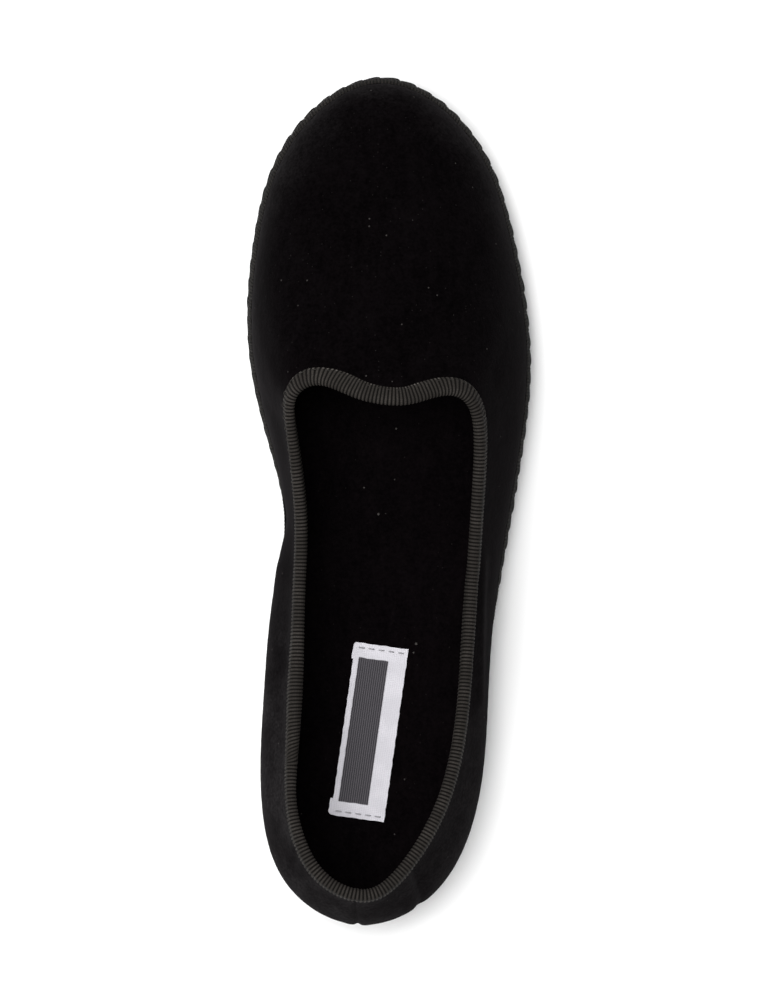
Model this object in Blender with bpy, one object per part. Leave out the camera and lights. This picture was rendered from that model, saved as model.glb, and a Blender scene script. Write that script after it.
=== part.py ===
"""Velvet friulane for the right foot: a soft slip-on on a layered cloth and rubber sole.

Metres, +Z up, +Y towards the toe, +X towards the little toe. The origin lies on the floor
under the middle of the shoe. The tables and the sizes below are in millimetres.
"""

from collections import namedtuple

import bmesh
import bpy
import numpy as np
from mathutils import Matrix

MM = 0.001

# Sole, heights above the floor where the shoe lies flat
OUTSOLE_TOP = 5.0
MIDSOLE_TOP = 10.0
SEAT_GAP = 0.3
FLAT_HEEL = (-108.0, -58.0)
FLAT_FOREFOOT = (8.0, 66.0)
TOE_SPRING = 5.5
HEEL_SPRING = 1.0
ARCH_RISE = 1.2
STRIP = 8.0

# Tread, chevrons that open towards the heel
TREAD_DEPTH = 1.2
TREAD_WIDTH = 2.0
TREAD_PITCH = 9.0
TREAD_SLOPE = 0.28
TREAD_ZONES = ((-108.0, -52.0), (0.0, 108.0))
TREAD_REACH = 60.0
TREAD_MIDDLE = -1.5

# Upper and what is sewn to it, and the grid that it is made on
WALL = 1.6
RIM_LEDGE = 1.7
RIBBON_GAP = 0.3
RIBBON_THICK = 0.6
RIBBON_FLARE = 0.7
BASE_RIBBON_HEIGHT = 6.0
BINDING_LEG = 3.5
INSOLE_THICK = 2.7
INSOLE_ROUND = 0.6
INSOLE_GAP = 0.5
COLUMNS = 80
BODY_ROWS = 8
ROW_CROWDING = 1.25
COLUMN_AIM = 14.0
CREST_TURNS = (60.0, 120.0)
FINE_COLUMNS = 2000
FINE_ROWS = 60

# Woven label on the insole
LABEL_WIDTH = 15.7
LABEL_LENGTH = 51.5
LABEL_THICK = 0.6
LABEL_CORNER = 0.8
LABEL_CENTRE = (-2.8, -68.3)
LABEL_TURN = -6.7

# One row for each rib of the last, from the heel up the inner side and back down the outer side.
# rim: edge of the sole. collar: crest of the top line. swell and rise: how far the wall leaves
# the sole outwards and upwards. reach and drop: how far it comes in to the collar.
Rib = namedtuple("Rib", "name rim_x rim_y collar_x collar_y collar_z swell rise reach drop")
RIBS = (
    Rib("heel_back", -4.7, -122.3, -6.8, -113.7, 56.0, 9.6, 22.0, 3.0, 20.0),
    Rib("heel_inner_round", -24.2, -111.8, -18.2, -107.0, 55.0, 10.1, 21.0, 3.0, 19.0),
    Rib("heel_inner", -32.2, -90.0, -25.1, -90.0, 52.5, 9.1, 20.0, 2.5, 18.0),
    Rib("quarter_inner", -32.9, -58.0, -24.9, -58.0, 48.0, 8.6, 17.0, 2.0, 16.0),
    Rib("waist_inner_back", -30.7, -28.0, -24.8, -28.0, 45.3, 8.1, 15.0, 1.5, 15.0),
    Rib("waist_inner", -29.2, -8.0, -24.8, -8.0, 45.0, 5.6, 15.0, 0.5, 14.0),
    Rib("joint_inner", -34.8, 16.0, -27.8, 16.0, 48.0, 2.6, 14.0, 0.0, 14.0),
    Rib("ball_inner", -40.8, 40.0, -28.6, 28.2, 51.0, 2.1, 15.0, 4.0, 12.0),
    Rib("toe_inner_back", -40.8, 74.0, -20.7, 33.6, 54.0, 1.6, 17.0, 18.0, 10.0),
    Rib("toe_inner", -29.7, 108.0, -9.8, 30.1, 57.0, 1.6, 21.0, 36.0, 12.5),
    Rib("toe_tip", -4.7, 124.1, -0.6, 28.3, 58.0, 1.6, 24.0, 50.0, 16.0),
    Rib("toe_outer", 23.8, 107.8, 7.2, 29.2, 57.0, 1.6, 21.0, 36.0, 12.5),
    Rib("toe_outer_back", 37.0, 76.0, 16.6, 31.8, 54.0, 1.6, 17.0, 18.0, 10.0),
    Rib("ball_outer", 42.3, 40.0, 24.5, 26.8, 51.0, 2.1, 15.0, 4.5, 12.0),
    Rib("joint_outer", 40.2, 13.0, 26.2, 13.0, 47.5, 2.1, 14.0, 2.5, 13.0),
    Rib("waist_outer", 36.2, -14.0, 25.4, -14.0, 44.5, 2.1, 14.0, 1.5, 13.0),
    Rib("quarter_outer", 30.4, -56.0, 23.4, -56.0, 47.2, 7.6, 16.0, 2.0, 16.0),
    Rib("heel_outer", 27.0, -90.0, 16.5, -90.0, 52.5, 9.9, 20.0, 3.0, 18.0),
    Rib("heel_outer_round", 17.6, -111.5, 4.8, -108.8, 55.0, 10.1, 21.0, 3.0, 19.0),
)

# Steps of the rubber's side, from the floor up, and the edges of the cloth layers:
# height above the floor and set-back from the rim
Step = namedtuple("Step", "height set_back")
OUTSOLE_STEPS = (
    Step(0.0, 1.6),
    Step(1.0, 0.5),
    Step(2.2, 0.2),
    Step(3.2, 0.7),
    Step(OUTSOLE_TOP, 0.7),
)
CLOTH_LAYERS = 3
CLOTH_SEAM = 1.0
CLOTH_EDGE = 0.5

Finish = namedtuple("Finish", "color roughness")
FINISHES = {
    "outsole": Finish((0.012, 0.012, 0.012, 1.0), 0.75),
    "midsole": Finish((0.022, 0.021, 0.020, 1.0), 0.95),
    "insole": Finish((0.006, 0.005, 0.006, 1.0), 0.95),
    "upper": Finish((0.006, 0.005, 0.006, 1.0), 0.90),
    "base_ribbon": Finish((0.020, 0.019, 0.018, 1.0), 0.80),
    "collar_binding": Finish((0.022, 0.021, 0.020, 1.0), 0.80),
    "label": Finish((0.72, 0.71, 0.74, 1.0), 0.85),
}


def closed_spline(knots, values):
    """A smooth closed curve through values, one at each knot from 0 up to 1."""
    count = len(knots)
    step = np.diff(np.append(knots, 1.0))
    system = np.zeros((count, count))
    pull = np.zeros_like(values)
    for i in range(count):
        before = (i - 1) % count
        after = (i + 1) % count
        system[i, before] += step[before]
        system[i, i] += 2.0 * (step[before] + step[i])
        system[i, after] += step[i]
        slope_after = (values[after] - values[i]) / step[i]
        slope_before = (values[i] - values[before]) / step[before]
        pull[i] = 6.0 * (slope_after - slope_before)
    bend = np.linalg.solve(system, pull)

    def at(u):
        u = np.mod(u, 1.0)
        i = np.searchsorted(knots, u, side="right") - 1
        j = (i + 1) % count
        gap = step[i][:, None]
        far = ((u - knots[i]) / step[i])[:, None]
        near = 1.0 - far
        straight = near * values[i] + far * values[j]
        curved = (near**3 - near) * bend[i] + (far**3 - far) * bend[j]
        return straight + curved * gap**2 / 6.0

    return at


def unit(vectors):
    """Vectors scaled to length one."""
    return vectors / np.linalg.norm(vectors, axis=-1, keepdims=True)


def lengths_round(points):
    """Share of a closed line's length at each of its points, from 0 up to 1."""
    runs = np.linalg.norm(np.roll(points, -1, axis=0) - points, axis=-1)
    return np.append(0.0, np.cumsum(runs)[:-1]) / runs.sum()


SOLE_HEEL = min(rib.rim_y for rib in RIBS)
SOLE_TOE = max(rib.rim_y for rib in RIBS)
RIB_TABLE = np.array([rib[1:] for rib in RIBS])
RIB_AT = closed_spline(lengths_round(RIB_TABLE[:, :2]), RIB_TABLE)
SMALL = 1e-4
LEVEL = 0.99


def rim(u):
    """Edge of the sole seen from above, and the outward direction there."""
    along = unit(RIB_AT(u + SMALL)[:, :2] - RIB_AT(u - SMALL)[:, :2])
    outward = np.stack([-along[:, 1], along[:, 0]], axis=-1)
    return RIB_AT(u)[:, :2], outward


def wall_handles(u):
    """The four handles of the wall's section at each place round the shoe."""
    rib = RIB_AT(u)
    edge, outward = rim(u)
    foot = edge - RIM_LEDGE * outward
    crest = rib[:, 2:4]
    aim = unit(foot - crest + COLUMN_AIM * outward)
    collar = crest + WALL / 2.0 * aim
    swell, rise, reach, drop = (rib[:, k, None] for k in range(5, 9))
    base = np.full_like(swell, MIDSOLE_TOP + SEAT_GAP)
    top = rib[:, 4, None]
    return (
        np.hstack([foot, base]),
        np.hstack([foot + swell * outward, base + rise]),
        np.hstack([collar + reach * aim, top - drop]),
        np.hstack([collar, top]),
    )


def wall_at(u, t):
    """Outer face of the upper: u runs round the shoe, t from the sole (0) to the collar (1)."""
    foot, low, high, collar = wall_handles(u)
    t = t[:, None]
    s = 1.0 - t
    return s**3 * foot + 3 * s**2 * t * low + 3 * s * t**2 * high + t**3 * collar


def wall_normal(u, t):
    """Outward direction of the upper's outer face."""
    round_shoe = wall_at(u + SMALL, t) - wall_at(u - SMALL, t)
    up_wall = wall_at(u, t + SMALL) - wall_at(u, t - SMALL)
    return unit(np.cross(up_wall, round_shoe))


def wall_lengths(u):
    """Length up the wall from the sole at evenly spread t, for each place round the shoe."""
    t = np.linspace(0.0, 1.0, FINE_ROWS)
    line = np.stack([wall_at(u, np.full_like(u, step)) for step in t])
    runs = np.linalg.norm(np.diff(line, axis=0), axis=-1)
    return t, np.vstack([np.zeros_like(u), np.cumsum(runs, axis=0)])


def columns():
    """Places round the shoe, spread evenly over the sole's edge and the collar together."""
    fine = np.linspace(0.0, 1.0, FINE_COLUMNS, endpoint=False)
    rib = RIB_AT(fine)
    spread = lengths_round(rib[:, :2]) + lengths_round(rib[:, 2:5])
    return np.interp(np.arange(COLUMNS) / COLUMNS, spread / 2.0, fine)


U = columns()
T_SAMPLES, T_LENGTHS = wall_lengths(U)
WALL_LENGTH = T_LENGTHS[-1]


def wall_ring(length, offset):
    """A ring at a length up the wall, offset outwards. The ring at the sole stays level."""
    t = np.array([np.interp(length[i], T_LENGTHS[:, i], T_SAMPLES) for i in range(COLUMNS)])
    normal = wall_normal(U, t)
    level = (length < SMALL)[:, None]
    flat = unit(normal * (1.0, 1.0, 0.0))
    return wall_at(U, t) + offset * np.where(level, flat, normal)


def from_sole(length):
    """The same length up from the sole all round."""
    return np.full(COLUMNS, length)


def from_collar(length):
    """The same length down from the collar all round."""
    return WALL_LENGTH - length


def spring(y):
    """How far the sole stands off the floor along the foot: heel, arch and toe."""
    toe = np.clip((y - FLAT_FOREFOOT[1]) / (SOLE_TOE - FLAT_FOREFOOT[1]), 0.0, None)
    heel = np.clip((FLAT_HEEL[0] - y) / (FLAT_HEEL[0] - SOLE_HEEL), 0.0, None)
    arch = np.clip((y - FLAT_HEEL[1]) / (FLAT_FOREFOOT[0] - FLAT_HEEL[1]), 0.0, 1.0)
    return TOE_SPRING * toe**2 + HEEL_SPRING * heel**2 + ARCH_RISE * np.sin(np.pi * arch) ** 2


def finish(name):
    """Material of a piece."""
    material = bpy.data.materials.new(name)
    material.use_nodes = True
    shader = material.node_tree.nodes["Principled BSDF"]
    shader.inputs["Base Color"].default_value = FINISHES[name].color
    shader.inputs["Roughness"].default_value = FINISHES[name].roughness
    return material


def add_piece(name, mesh_maker, shoe, smooth=40.0):
    """One object from a bmesh in millimetres, lifted by the spring of the sole."""
    for vertex in mesh_maker.verts:
        vertex.co.z += spring(vertex.co.y)
    bmesh.ops.recalc_face_normals(mesh_maker, faces=mesh_maker.faces)
    bmesh.ops.scale(mesh_maker, vec=(MM, MM, MM), verts=mesh_maker.verts)
    mesh = bpy.data.meshes.new(name)
    mesh_maker.to_mesh(mesh)
    mesh_maker.free()
    mesh.shade_smooth()
    mesh.set_sharp_from_angle(angle=np.radians(smooth))
    piece = bpy.data.objects.new(name, mesh)
    bpy.context.collection.objects.link(piece)
    piece.parent = shoe
    if name in FINISHES:
        mesh.materials.append(finish(name))
    return piece


def loft(rings, closed):
    """Rings of points joined side by side, closed into a hoop or left open at both ends."""
    shape = bmesh.new()
    loops = [[shape.verts.new(point) for point in ring] for ring in rings]
    pairs = list(zip(loops, loops[1:]))
    if closed:
        pairs.append((loops[-1], loops[0]))
    for low, high in pairs:
        for k in range(len(low)):
            after = (k + 1) % len(low)
            shape.faces.new((low[k], low[after], high[after], high[k]))
    return shape, loops


def cut_across(shape, places):
    """Cut the level faces of a piece across the foot, so that they can follow the spring of the sole."""
    for y in places:
        shape.normal_update()
        level = [face for face in shape.faces if abs(face.normal.z) > LEVEL]
        edges = {edge for face in level for edge in face.edges}
        corners = {vertex for face in level for vertex in face.verts}
        geometry = level + list(edges) + list(corners)
        bmesh.ops.bisect_plane(shape, geom=geometry, plane_co=(0, y, 0), plane_no=(0, 1, 0))


def slab(rings):
    """A flat piece between its bottom and top ring, cut into strips across the foot."""
    shape, loops = loft(rings, closed=False)
    shape.faces.new(loops[0])
    shape.faces.new(loops[-1])
    cut_across(shape, np.arange(SOLE_HEEL + STRIP, SOLE_TOE, STRIP))
    return shape


def sole_rings(steps):
    """Outline of the sole at each step of its side."""
    edge, outward = rim(U)
    rings = []
    for step in steps:
        plan = edge - step.set_back * outward
        rings.append(np.hstack([plan, np.full((COLUMNS, 1), step.height)]))
    return rings


def tread_cutter(shoe):
    """All the chevron grooves of the outsole as one cutter."""
    bars = bmesh.new()
    half = TREAD_WIDTH / 2.0
    for start, end in TREAD_ZONES:
        for y in np.arange(start, end, TREAD_PITCH):
            line = [(side * TREAD_REACH, y - abs(side) * TREAD_SLOPE * TREAD_REACH) for side in (-1, 0, 1)]
            corners = [(x, v - half) for x, v in line] + [(x, v + half) for x, v in reversed(line)]
            base = [bars.verts.new((x + TREAD_MIDDLE, v, -TREAD_DEPTH)) for x, v in corners]
            raised = bmesh.ops.extrude_face_region(bars, geom=[bars.faces.new(base)])["geom"]
            tops = [item for item in raised if isinstance(item, bmesh.types.BMVert)]
            bmesh.ops.translate(bars, vec=(0, 0, 2 * TREAD_DEPTH), verts=tops)
    cutter = add_piece("tread_cutter", bars, shoe)
    cutter.hide_render = True
    cutter.display_type = "WIRE"
    return cutter


def outsole(shoe):
    """Rubber sole with its chevron tread."""
    piece = add_piece("outsole", slab(sole_rings(OUTSOLE_STEPS)), shoe, smooth=30.0)
    cut = piece.modifiers.new("tread", "BOOLEAN")
    cut.operation = "DIFFERENCE"
    cut.solver = "EXACT"
    cut.object = tread_cutter(shoe)


def midsole(shoe):
    """Layers of cloth between rubber and upper, each with a full edge."""
    bottom = OUTSOLE_TOP + SEAT_GAP
    layer = (MIDSOLE_TOP - bottom) / CLOTH_LAYERS
    steps = []
    for k in range(CLOTH_LAYERS):
        steps.append(Step(bottom + k * layer, CLOTH_SEAM))
        steps.append(Step(bottom + (k + 0.5) * layer, CLOTH_EDGE))
    steps.append(Step(MIDSOLE_TOP, CLOTH_SEAM))
    add_piece("midsole", slab(sole_rings(steps)), shoe)


def insole(shoe):
    """Footbed inside the wall, its upper edge rounded."""
    inside = -(WALL + INSOLE_GAP)
    bottom = wall_ring(from_sole(0.0), inside)
    side = wall_ring(from_sole(INSOLE_THICK - INSOLE_ROUND), inside)
    top = wall_ring(from_sole(INSOLE_THICK), inside - INSOLE_ROUND)
    side[:, 2] = bottom[:, 2] + INSOLE_THICK - INSOLE_ROUND
    top[:, 2] = bottom[:, 2] + INSOLE_THICK
    add_piece("insole", slab([bottom, side, top]), shoe)


def upper(shoe):
    """Hollow velvet wall, open at the collar and underneath."""
    body = np.linspace(0.0, 1.0, BODY_ROWS + 2)[1:-1] ** ROW_CROWDING
    low = from_sole(BASE_RIBBON_HEIGHT)
    high = from_collar(BINDING_LEG)
    middle = [low + share * (high - low) for share in body]
    foot = from_sole(0.0)
    crest = from_collar(0.0)
    outside = [foot, low / 2.0, low, *middle, high, from_collar(BINDING_LEG / 2.0), crest]
    inside = [foot, low, *middle, high, crest]
    outer = [wall_ring(length, 0.0) for length in outside]
    inner = [wall_ring(length, -WALL) for length in reversed(inside)]
    shape, _ = loft(outer + inner, closed=True)
    add_piece("upper", shape, shoe)


def base_ribbon(shoe):
    """Grosgrain band round the foot of the wall, thicker where it meets the sole."""
    lengths = [from_sole(share * BASE_RIBBON_HEIGHT) for share in (0.0, 0.5, 1.0)]
    skin = RIBBON_GAP + RIBBON_THICK
    bulges = [skin + RIBBON_FLARE, skin + RIBBON_FLARE / 2.0, skin]
    outer = [wall_ring(length, bulge) for length, bulge in zip(lengths, bulges)]
    inner = [wall_ring(length, RIBBON_GAP) for length in reversed(lengths)]
    shape, _ = loft(outer + inner, closed=True)
    add_piece("base_ribbon", shape, shoe)


def crest_ring(radius, turn):
    """A ring round the crest of the collar, at a radius from the middle of the wall's edge."""
    edge = wall_ring(from_collar(0.0), -WALL / 2.0)
    outward = wall_normal(U, np.ones(COLUMNS))
    before = wall_ring(from_collar(SMALL * 10.0), -WALL / 2.0)
    upward = unit(edge - before)
    angle = np.radians(turn)
    return edge + radius * (np.cos(angle) * outward + np.sin(angle) * upward)


def collar_binding(shoe):
    """Grosgrain ribbon folded over the top line, one leg on each face of the wall."""
    legs = [from_collar(share * BINDING_LEG) for share in (1.0, 0.5, 0.0)]
    skin = RIBBON_GAP + RIBBON_THICK
    over = [wall_ring(leg, skin) for leg in legs]
    over += [crest_ring(WALL / 2.0 + skin, turn) for turn in CREST_TURNS]
    over += [wall_ring(leg, -WALL - skin) for leg in reversed(legs)]
    under = [wall_ring(leg, -WALL - RIBBON_GAP) for leg in (legs[0], legs[-1])]
    under += [crest_ring(WALL / 2.0 + RIBBON_GAP, turn) for turn in reversed(CREST_TURNS)]
    under += [wall_ring(leg, RIBBON_GAP) for leg in (legs[-1], legs[0])]
    shape, _ = loft(over + under, closed=True)
    add_piece("collar_binding", shape, shoe)


def label(shoe):
    """Woven tape that lies on the insole at the heel."""
    shape = bmesh.new()
    bmesh.ops.create_cube(shape, size=1.0)
    bmesh.ops.scale(shape, vec=(LABEL_WIDTH, LABEL_LENGTH, LABEL_THICK), verts=shape.verts)
    upright = [edge for edge in shape.edges if abs(edge.verts[0].co.z - edge.verts[1].co.z) > SMALL]
    bmesh.ops.bevel(shape, geom=upright, offset=LABEL_CORNER, segments=2, profile=0.5, affect="EDGES")
    cut_across(shape, np.arange(STRIP - LABEL_LENGTH / 2.0, LABEL_LENGTH / 2.0, STRIP))
    turn = Matrix.Rotation(np.radians(LABEL_TURN), 3, "Z")
    bmesh.ops.rotate(shape, cent=(0, 0, 0), matrix=turn, verts=shape.verts)
    middle = MIDSOLE_TOP + INSOLE_THICK + 2.0 * SEAT_GAP + LABEL_THICK / 2.0
    bmesh.ops.translate(shape, vec=(*LABEL_CENTRE, middle), verts=shape.verts)
    add_piece("label", shape, shoe)


def centre(shoe):
    """Bring the middle of the shoe's box over the origin."""
    pieces = [piece for piece in shoe.children if not piece.hide_render]
    points = np.array([vertex.co for piece in pieces for vertex in piece.data.vertices])
    middle = (points.min(axis=0) + points.max(axis=0)) / 2.0
    shoe.location = (-middle[0], -middle[1], 0.0)


def main():
    """Make the shoe in an empty scene."""
    for old in list(bpy.data.objects):
        bpy.data.objects.remove(old, do_unlink=True)
    shoe = bpy.data.objects.new("shoe", None)
    bpy.context.collection.objects.link(shoe)
    for make in (outsole, midsole, insole, upper, base_ribbon, collar_binding, label):
        make(shoe)
    centre(shoe)


main()
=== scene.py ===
"""Looks of a velvet friulane for the right foot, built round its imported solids.

The shoe's classes hold their sizes in millimetres, in the frame of the last: +Y towards the toe, +X
towards the little toe, +Z up from the floor. Finished meshes are in metres, in the frame of the solids.
"""

import logging
import math
from collections.abc import Callable, Iterable
from dataclasses import dataclass, field
from enum import Enum
from functools import reduce
from operator import add
from typing import NamedTuple

import bmesh
import bpy
import numpy as np
from mathutils import Matrix, Vector

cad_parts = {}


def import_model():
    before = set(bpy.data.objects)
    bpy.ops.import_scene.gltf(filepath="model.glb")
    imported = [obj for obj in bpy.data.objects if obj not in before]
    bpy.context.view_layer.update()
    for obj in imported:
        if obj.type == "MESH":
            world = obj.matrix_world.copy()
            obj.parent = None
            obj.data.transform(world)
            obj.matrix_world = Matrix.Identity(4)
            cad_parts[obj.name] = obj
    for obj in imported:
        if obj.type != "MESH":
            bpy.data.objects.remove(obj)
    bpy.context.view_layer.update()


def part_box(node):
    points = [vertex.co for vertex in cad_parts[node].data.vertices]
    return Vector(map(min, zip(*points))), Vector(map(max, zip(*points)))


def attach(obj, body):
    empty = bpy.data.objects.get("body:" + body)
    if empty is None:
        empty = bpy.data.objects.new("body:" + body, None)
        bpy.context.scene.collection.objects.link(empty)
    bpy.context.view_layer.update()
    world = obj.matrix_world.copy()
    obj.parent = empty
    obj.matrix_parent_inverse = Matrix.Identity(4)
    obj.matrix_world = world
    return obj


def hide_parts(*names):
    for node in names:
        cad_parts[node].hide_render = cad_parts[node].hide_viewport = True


log = logging.getLogger("friulane")

MM = 0.001
TINY = 1e-4
FACE_DEPTH = 0.9
BODY = "root"
Numbers = np.ndarray
Pair = tuple[float, float]
Span = Pair
Triple = tuple[float, float, float]
Colour = Triple
Socket = bpy.types.NodeSocket
Surface = Callable[[Numbers, Numbers], Numbers]


class Slot(Enum):
    """Material slots of the shoe's record."""

    RUBBER = "rubber"
    LAYERED_CLOTH = "layered_cloth"
    FOOTBED = "footbed_velvet"
    VELVET = "velvet"
    GROSGRAIN = "grosgrain"
    TAPE = "woven_tape"


class Rib(NamedTuple):
    """One section of the last.

    rim is the edge of the sole and collar the crest of the top line. swell and rise say how far the
    wall leaves the sole outwards and upwards, reach and drop how far it comes in to the collar.
    """

    name: str
    rim_x: float
    rim_y: float
    collar_x: float
    collar_y: float
    collar_z: float
    swell: float
    rise: float
    reach: float
    drop: float


RIBS = (
    Rib("heel_back", -4.7, -122.3, -6.8, -113.7, 56.0, 9.6, 22.0, 3.0, 20.0),
    Rib("heel_inner_round", -24.2, -111.8, -18.2, -107.0, 55.0, 10.1, 21.0, 3.0, 19.0),
    Rib("heel_inner", -32.2, -90.0, -25.1, -90.0, 52.5, 9.1, 20.0, 2.5, 18.0),
    Rib("quarter_inner", -32.9, -58.0, -24.9, -58.0, 48.0, 8.6, 17.0, 2.0, 16.0),
    Rib("waist_inner_back", -30.7, -28.0, -24.8, -28.0, 45.3, 8.1, 15.0, 1.5, 15.0),
    Rib("waist_inner", -29.2, -8.0, -24.8, -8.0, 45.0, 5.6, 15.0, 0.5, 14.0),
    Rib("joint_inner", -34.8, 16.0, -27.8, 16.0, 48.0, 2.6, 14.0, 0.0, 14.0),
    Rib("ball_inner", -40.8, 40.0, -28.6, 28.2, 51.0, 2.1, 15.0, 4.0, 12.0),
    Rib("toe_inner_back", -40.8, 74.0, -20.7, 33.6, 54.0, 1.6, 17.0, 18.0, 10.0),
    Rib("toe_inner", -29.7, 108.0, -9.8, 30.1, 57.0, 1.6, 21.0, 36.0, 12.5),
    Rib("toe_tip", -4.7, 124.1, -0.6, 28.3, 58.0, 1.6, 24.0, 50.0, 16.0),
    Rib("toe_outer", 23.8, 107.8, 7.2, 29.2, 57.0, 1.6, 21.0, 36.0, 12.5),
    Rib("toe_outer_back", 37.0, 76.0, 16.6, 31.8, 54.0, 1.6, 17.0, 18.0, 10.0),
    Rib("ball_outer", 42.3, 40.0, 24.5, 26.8, 51.0, 2.1, 15.0, 4.5, 12.0),
    Rib("joint_outer", 40.2, 13.0, 26.2, 13.0, 47.5, 2.1, 14.0, 2.5, 13.0),
    Rib("waist_outer", 36.2, -14.0, 25.4, -14.0, 44.5, 2.1, 14.0, 1.5, 13.0),
    Rib("quarter_outer", 30.4, -56.0, 23.4, -56.0, 47.2, 7.6, 16.0, 2.0, 16.0),
    Rib("heel_outer", 27.0, -90.0, 16.5, -90.0, 52.5, 9.9, 20.0, 3.0, 18.0),
    Rib("heel_outer_round", 17.6, -111.5, 4.8, -108.8, 55.0, 10.1, 21.0, 3.0, 19.0),
)


class Crease(NamedTuple):
    """A soft trough in the wall, or a ridge where depth is negative.

    along is measured on the sole's edge from the centre back, positive on the inner side and
    negative on the outer one, and up is measured up the wall from the sole.
    """

    name: str
    along: float
    up: float
    end_along: float
    end_up: float
    width: float
    depth: float


CREASES = (
    Crease("back_seam", 0.0, 4.0, 0.0, 46.0, 0.7, 0.55),
    Crease("back_seam_inner_roll", 2.2, 6.0, 2.2, 43.0, 1.4, -0.16),
    Crease("back_seam_outer_roll", -2.2, 6.0, -2.2, 43.0, 1.4, -0.16),
    Crease("heel_fold_outer", -32.5, 43.0, -17.5, 13.0, 1.6, 0.95),
    Crease("heel_fold_outer_roll", -28.5, 43.0, -15.5, 20.0, 2.2, -0.35),
    Crease("heel_fold_inner", 34.0, 43.0, 23.0, 24.0, 1.9, 0.22),
    Crease("heel_fold_inner_roll", 38.5, 42.0, 28.0, 24.0, 2.8, -0.15),
    Crease("quarter_outer_ridge", -122.0, 25.0, -82.0, 22.0, 3.2, -0.9),
    Crease("quarter_outer_hollow", -116.0, 32.0, -78.0, 31.5, 3.6, 0.55),
    Crease("quarter_inner_hollow", 62.0, 30.0, 104.0, 26.0, 5.0, 0.5),
    Crease("waist_inner_pinch", 131.0, 2.0, 129.0, 24.0, 5.5, 0.8),
    Crease("waist_inner_roll", 116.0, 8.0, 112.0, 26.0, 5.0, -0.45),
    Crease("joint_inner_fold", 158.0, 31.0, 170.0, 14.0, 5.5, 0.2),
    Crease("corner_inner_fold", 186.0, 44.0, 198.0, 24.0, 7.0, 0.2),
    Crease("corner_outer_fold", -188.0, 42.0, -201.0, 24.0, 7.0, 0.2),
    Crease("joint_outer_fold", -158.0, 32.0, -168.0, 13.0, 6.5, 0.2),
)


class Wave(NamedTuple):
    """An uneven wave along the shoe: a short wave whose height follows a long one.

    short and long are the millimetres to a radian, and the turns shift the waves, in radians.
    """

    size: float
    short: float
    long: float
    short_turn: float
    long_turn: float

    def at(
        self, along: Numbers, short_turns: Numbers | float = 1.0, long_turns: Numbers | float = 1.0
    ) -> Numbers:
        """Height of the wave.

        Args:
            along: millimetres along the shoe.
            short_turns: how often the short wave is shifted by its turn.
            long_turns: how often the long wave is shifted by its turn.

        Returns:
            Heights in millimetres.
        """
        quick = np.sin(along / self.short + self.short_turn * short_turns)
        slow = np.sin(along / self.long + self.long_turn * long_turns)
        return self.size * quick * slow


class ClosedSpline:
    """A smooth closed curve through the rows of a table, one at each knot from 0 up to 1."""

    def __init__(self, knots: Numbers, rows: Numbers) -> None:
        """Work out the bend at each knot.

        Args:
            knots: place of each row, from 0 up to 1.
            rows: values to pass through, one row for each knot.
        """
        count = len(knots)
        self.knots = knots
        self.rows = rows
        self.step = np.diff(np.append(knots, 1.0))
        system = np.zeros((count, count))
        pull = np.zeros_like(rows)
        for i in range(count):
            before = (i - 1) % count
            after = (i + 1) % count
            system[i, before] += self.step[before]
            system[i, i] += 2.0 * (self.step[before] + self.step[i])
            system[i, after] += self.step[i]
            rise_after = (rows[after] - rows[i]) / self.step[i]
            rise_before = (rows[i] - rows[before]) / self.step[before]
            pull[i] = 6.0 * (rise_after - rise_before)
        self.bend = np.linalg.solve(system, pull)

    def __call__(self, place: Numbers) -> Numbers:
        """Values of the curve.

        Args:
            place: places on the curve, of any size, one turn being 1.

        Returns:
            One row of values for each place.
        """
        place = np.mod(place, 1.0)
        i = np.searchsorted(self.knots, place, side="right") - 1
        j = (i + 1) % len(self.knots)
        gap = self.step[i][:, None]
        far = ((place - self.knots[i]) / self.step[i])[:, None]
        near = 1.0 - far
        straight = near * self.rows[i] + far * self.rows[j]
        curved = (near**3 - near) * self.bend[i] + (far**3 - far) * self.bend[j]
        return straight + curved * gap**2 / 6.0


def unit(vectors: Numbers) -> Numbers:
    """Vectors scaled to length one."""
    return vectors / np.linalg.norm(vectors, axis=-1, keepdims=True)


def smooth_step(value: Numbers, low: float, high: float) -> Numbers:
    """A soft step from 0 at low to 1 at high."""
    share = np.clip((value - low) / (high - low), 0.0, 1.0)
    return share * share * (3.0 - 2.0 * share)


def rib_height(phase: Numbers, roundness: float) -> Numbers:
    """Height over a ribbon's ribs, from 0 between two ribs, where the phase is whole, to 1."""
    return np.abs(np.sin(np.pi * phase)) ** roundness


class TapeMeasure:
    """Length round a closed line of the last."""

    def __init__(self, places: Numbers, points: Numbers) -> None:
        """Lay the tape along a line.

        Args:
            places: the last's own coordinate at each point, from 0 up to 1.
            points: points of the closed line, in millimetres.
        """
        runs = np.linalg.norm(np.roll(points, -1, axis=0) - points, axis=-1)
        self.marks = np.append(0.0, np.cumsum(runs))
        self.places = np.append(places, 1.0)
        self.length = float(self.marks[-1])

    def place(self, share: Numbers) -> Numbers:
        """The last's coordinate at a share of the way round."""
        return np.interp(share * self.length, self.marks, self.places)

    def along(self, place: Numbers) -> Numbers:
        """Millimetres from the centre back at each of the last's coordinates."""
        return np.interp(np.mod(place, 1.0), self.places, self.marks)


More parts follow.
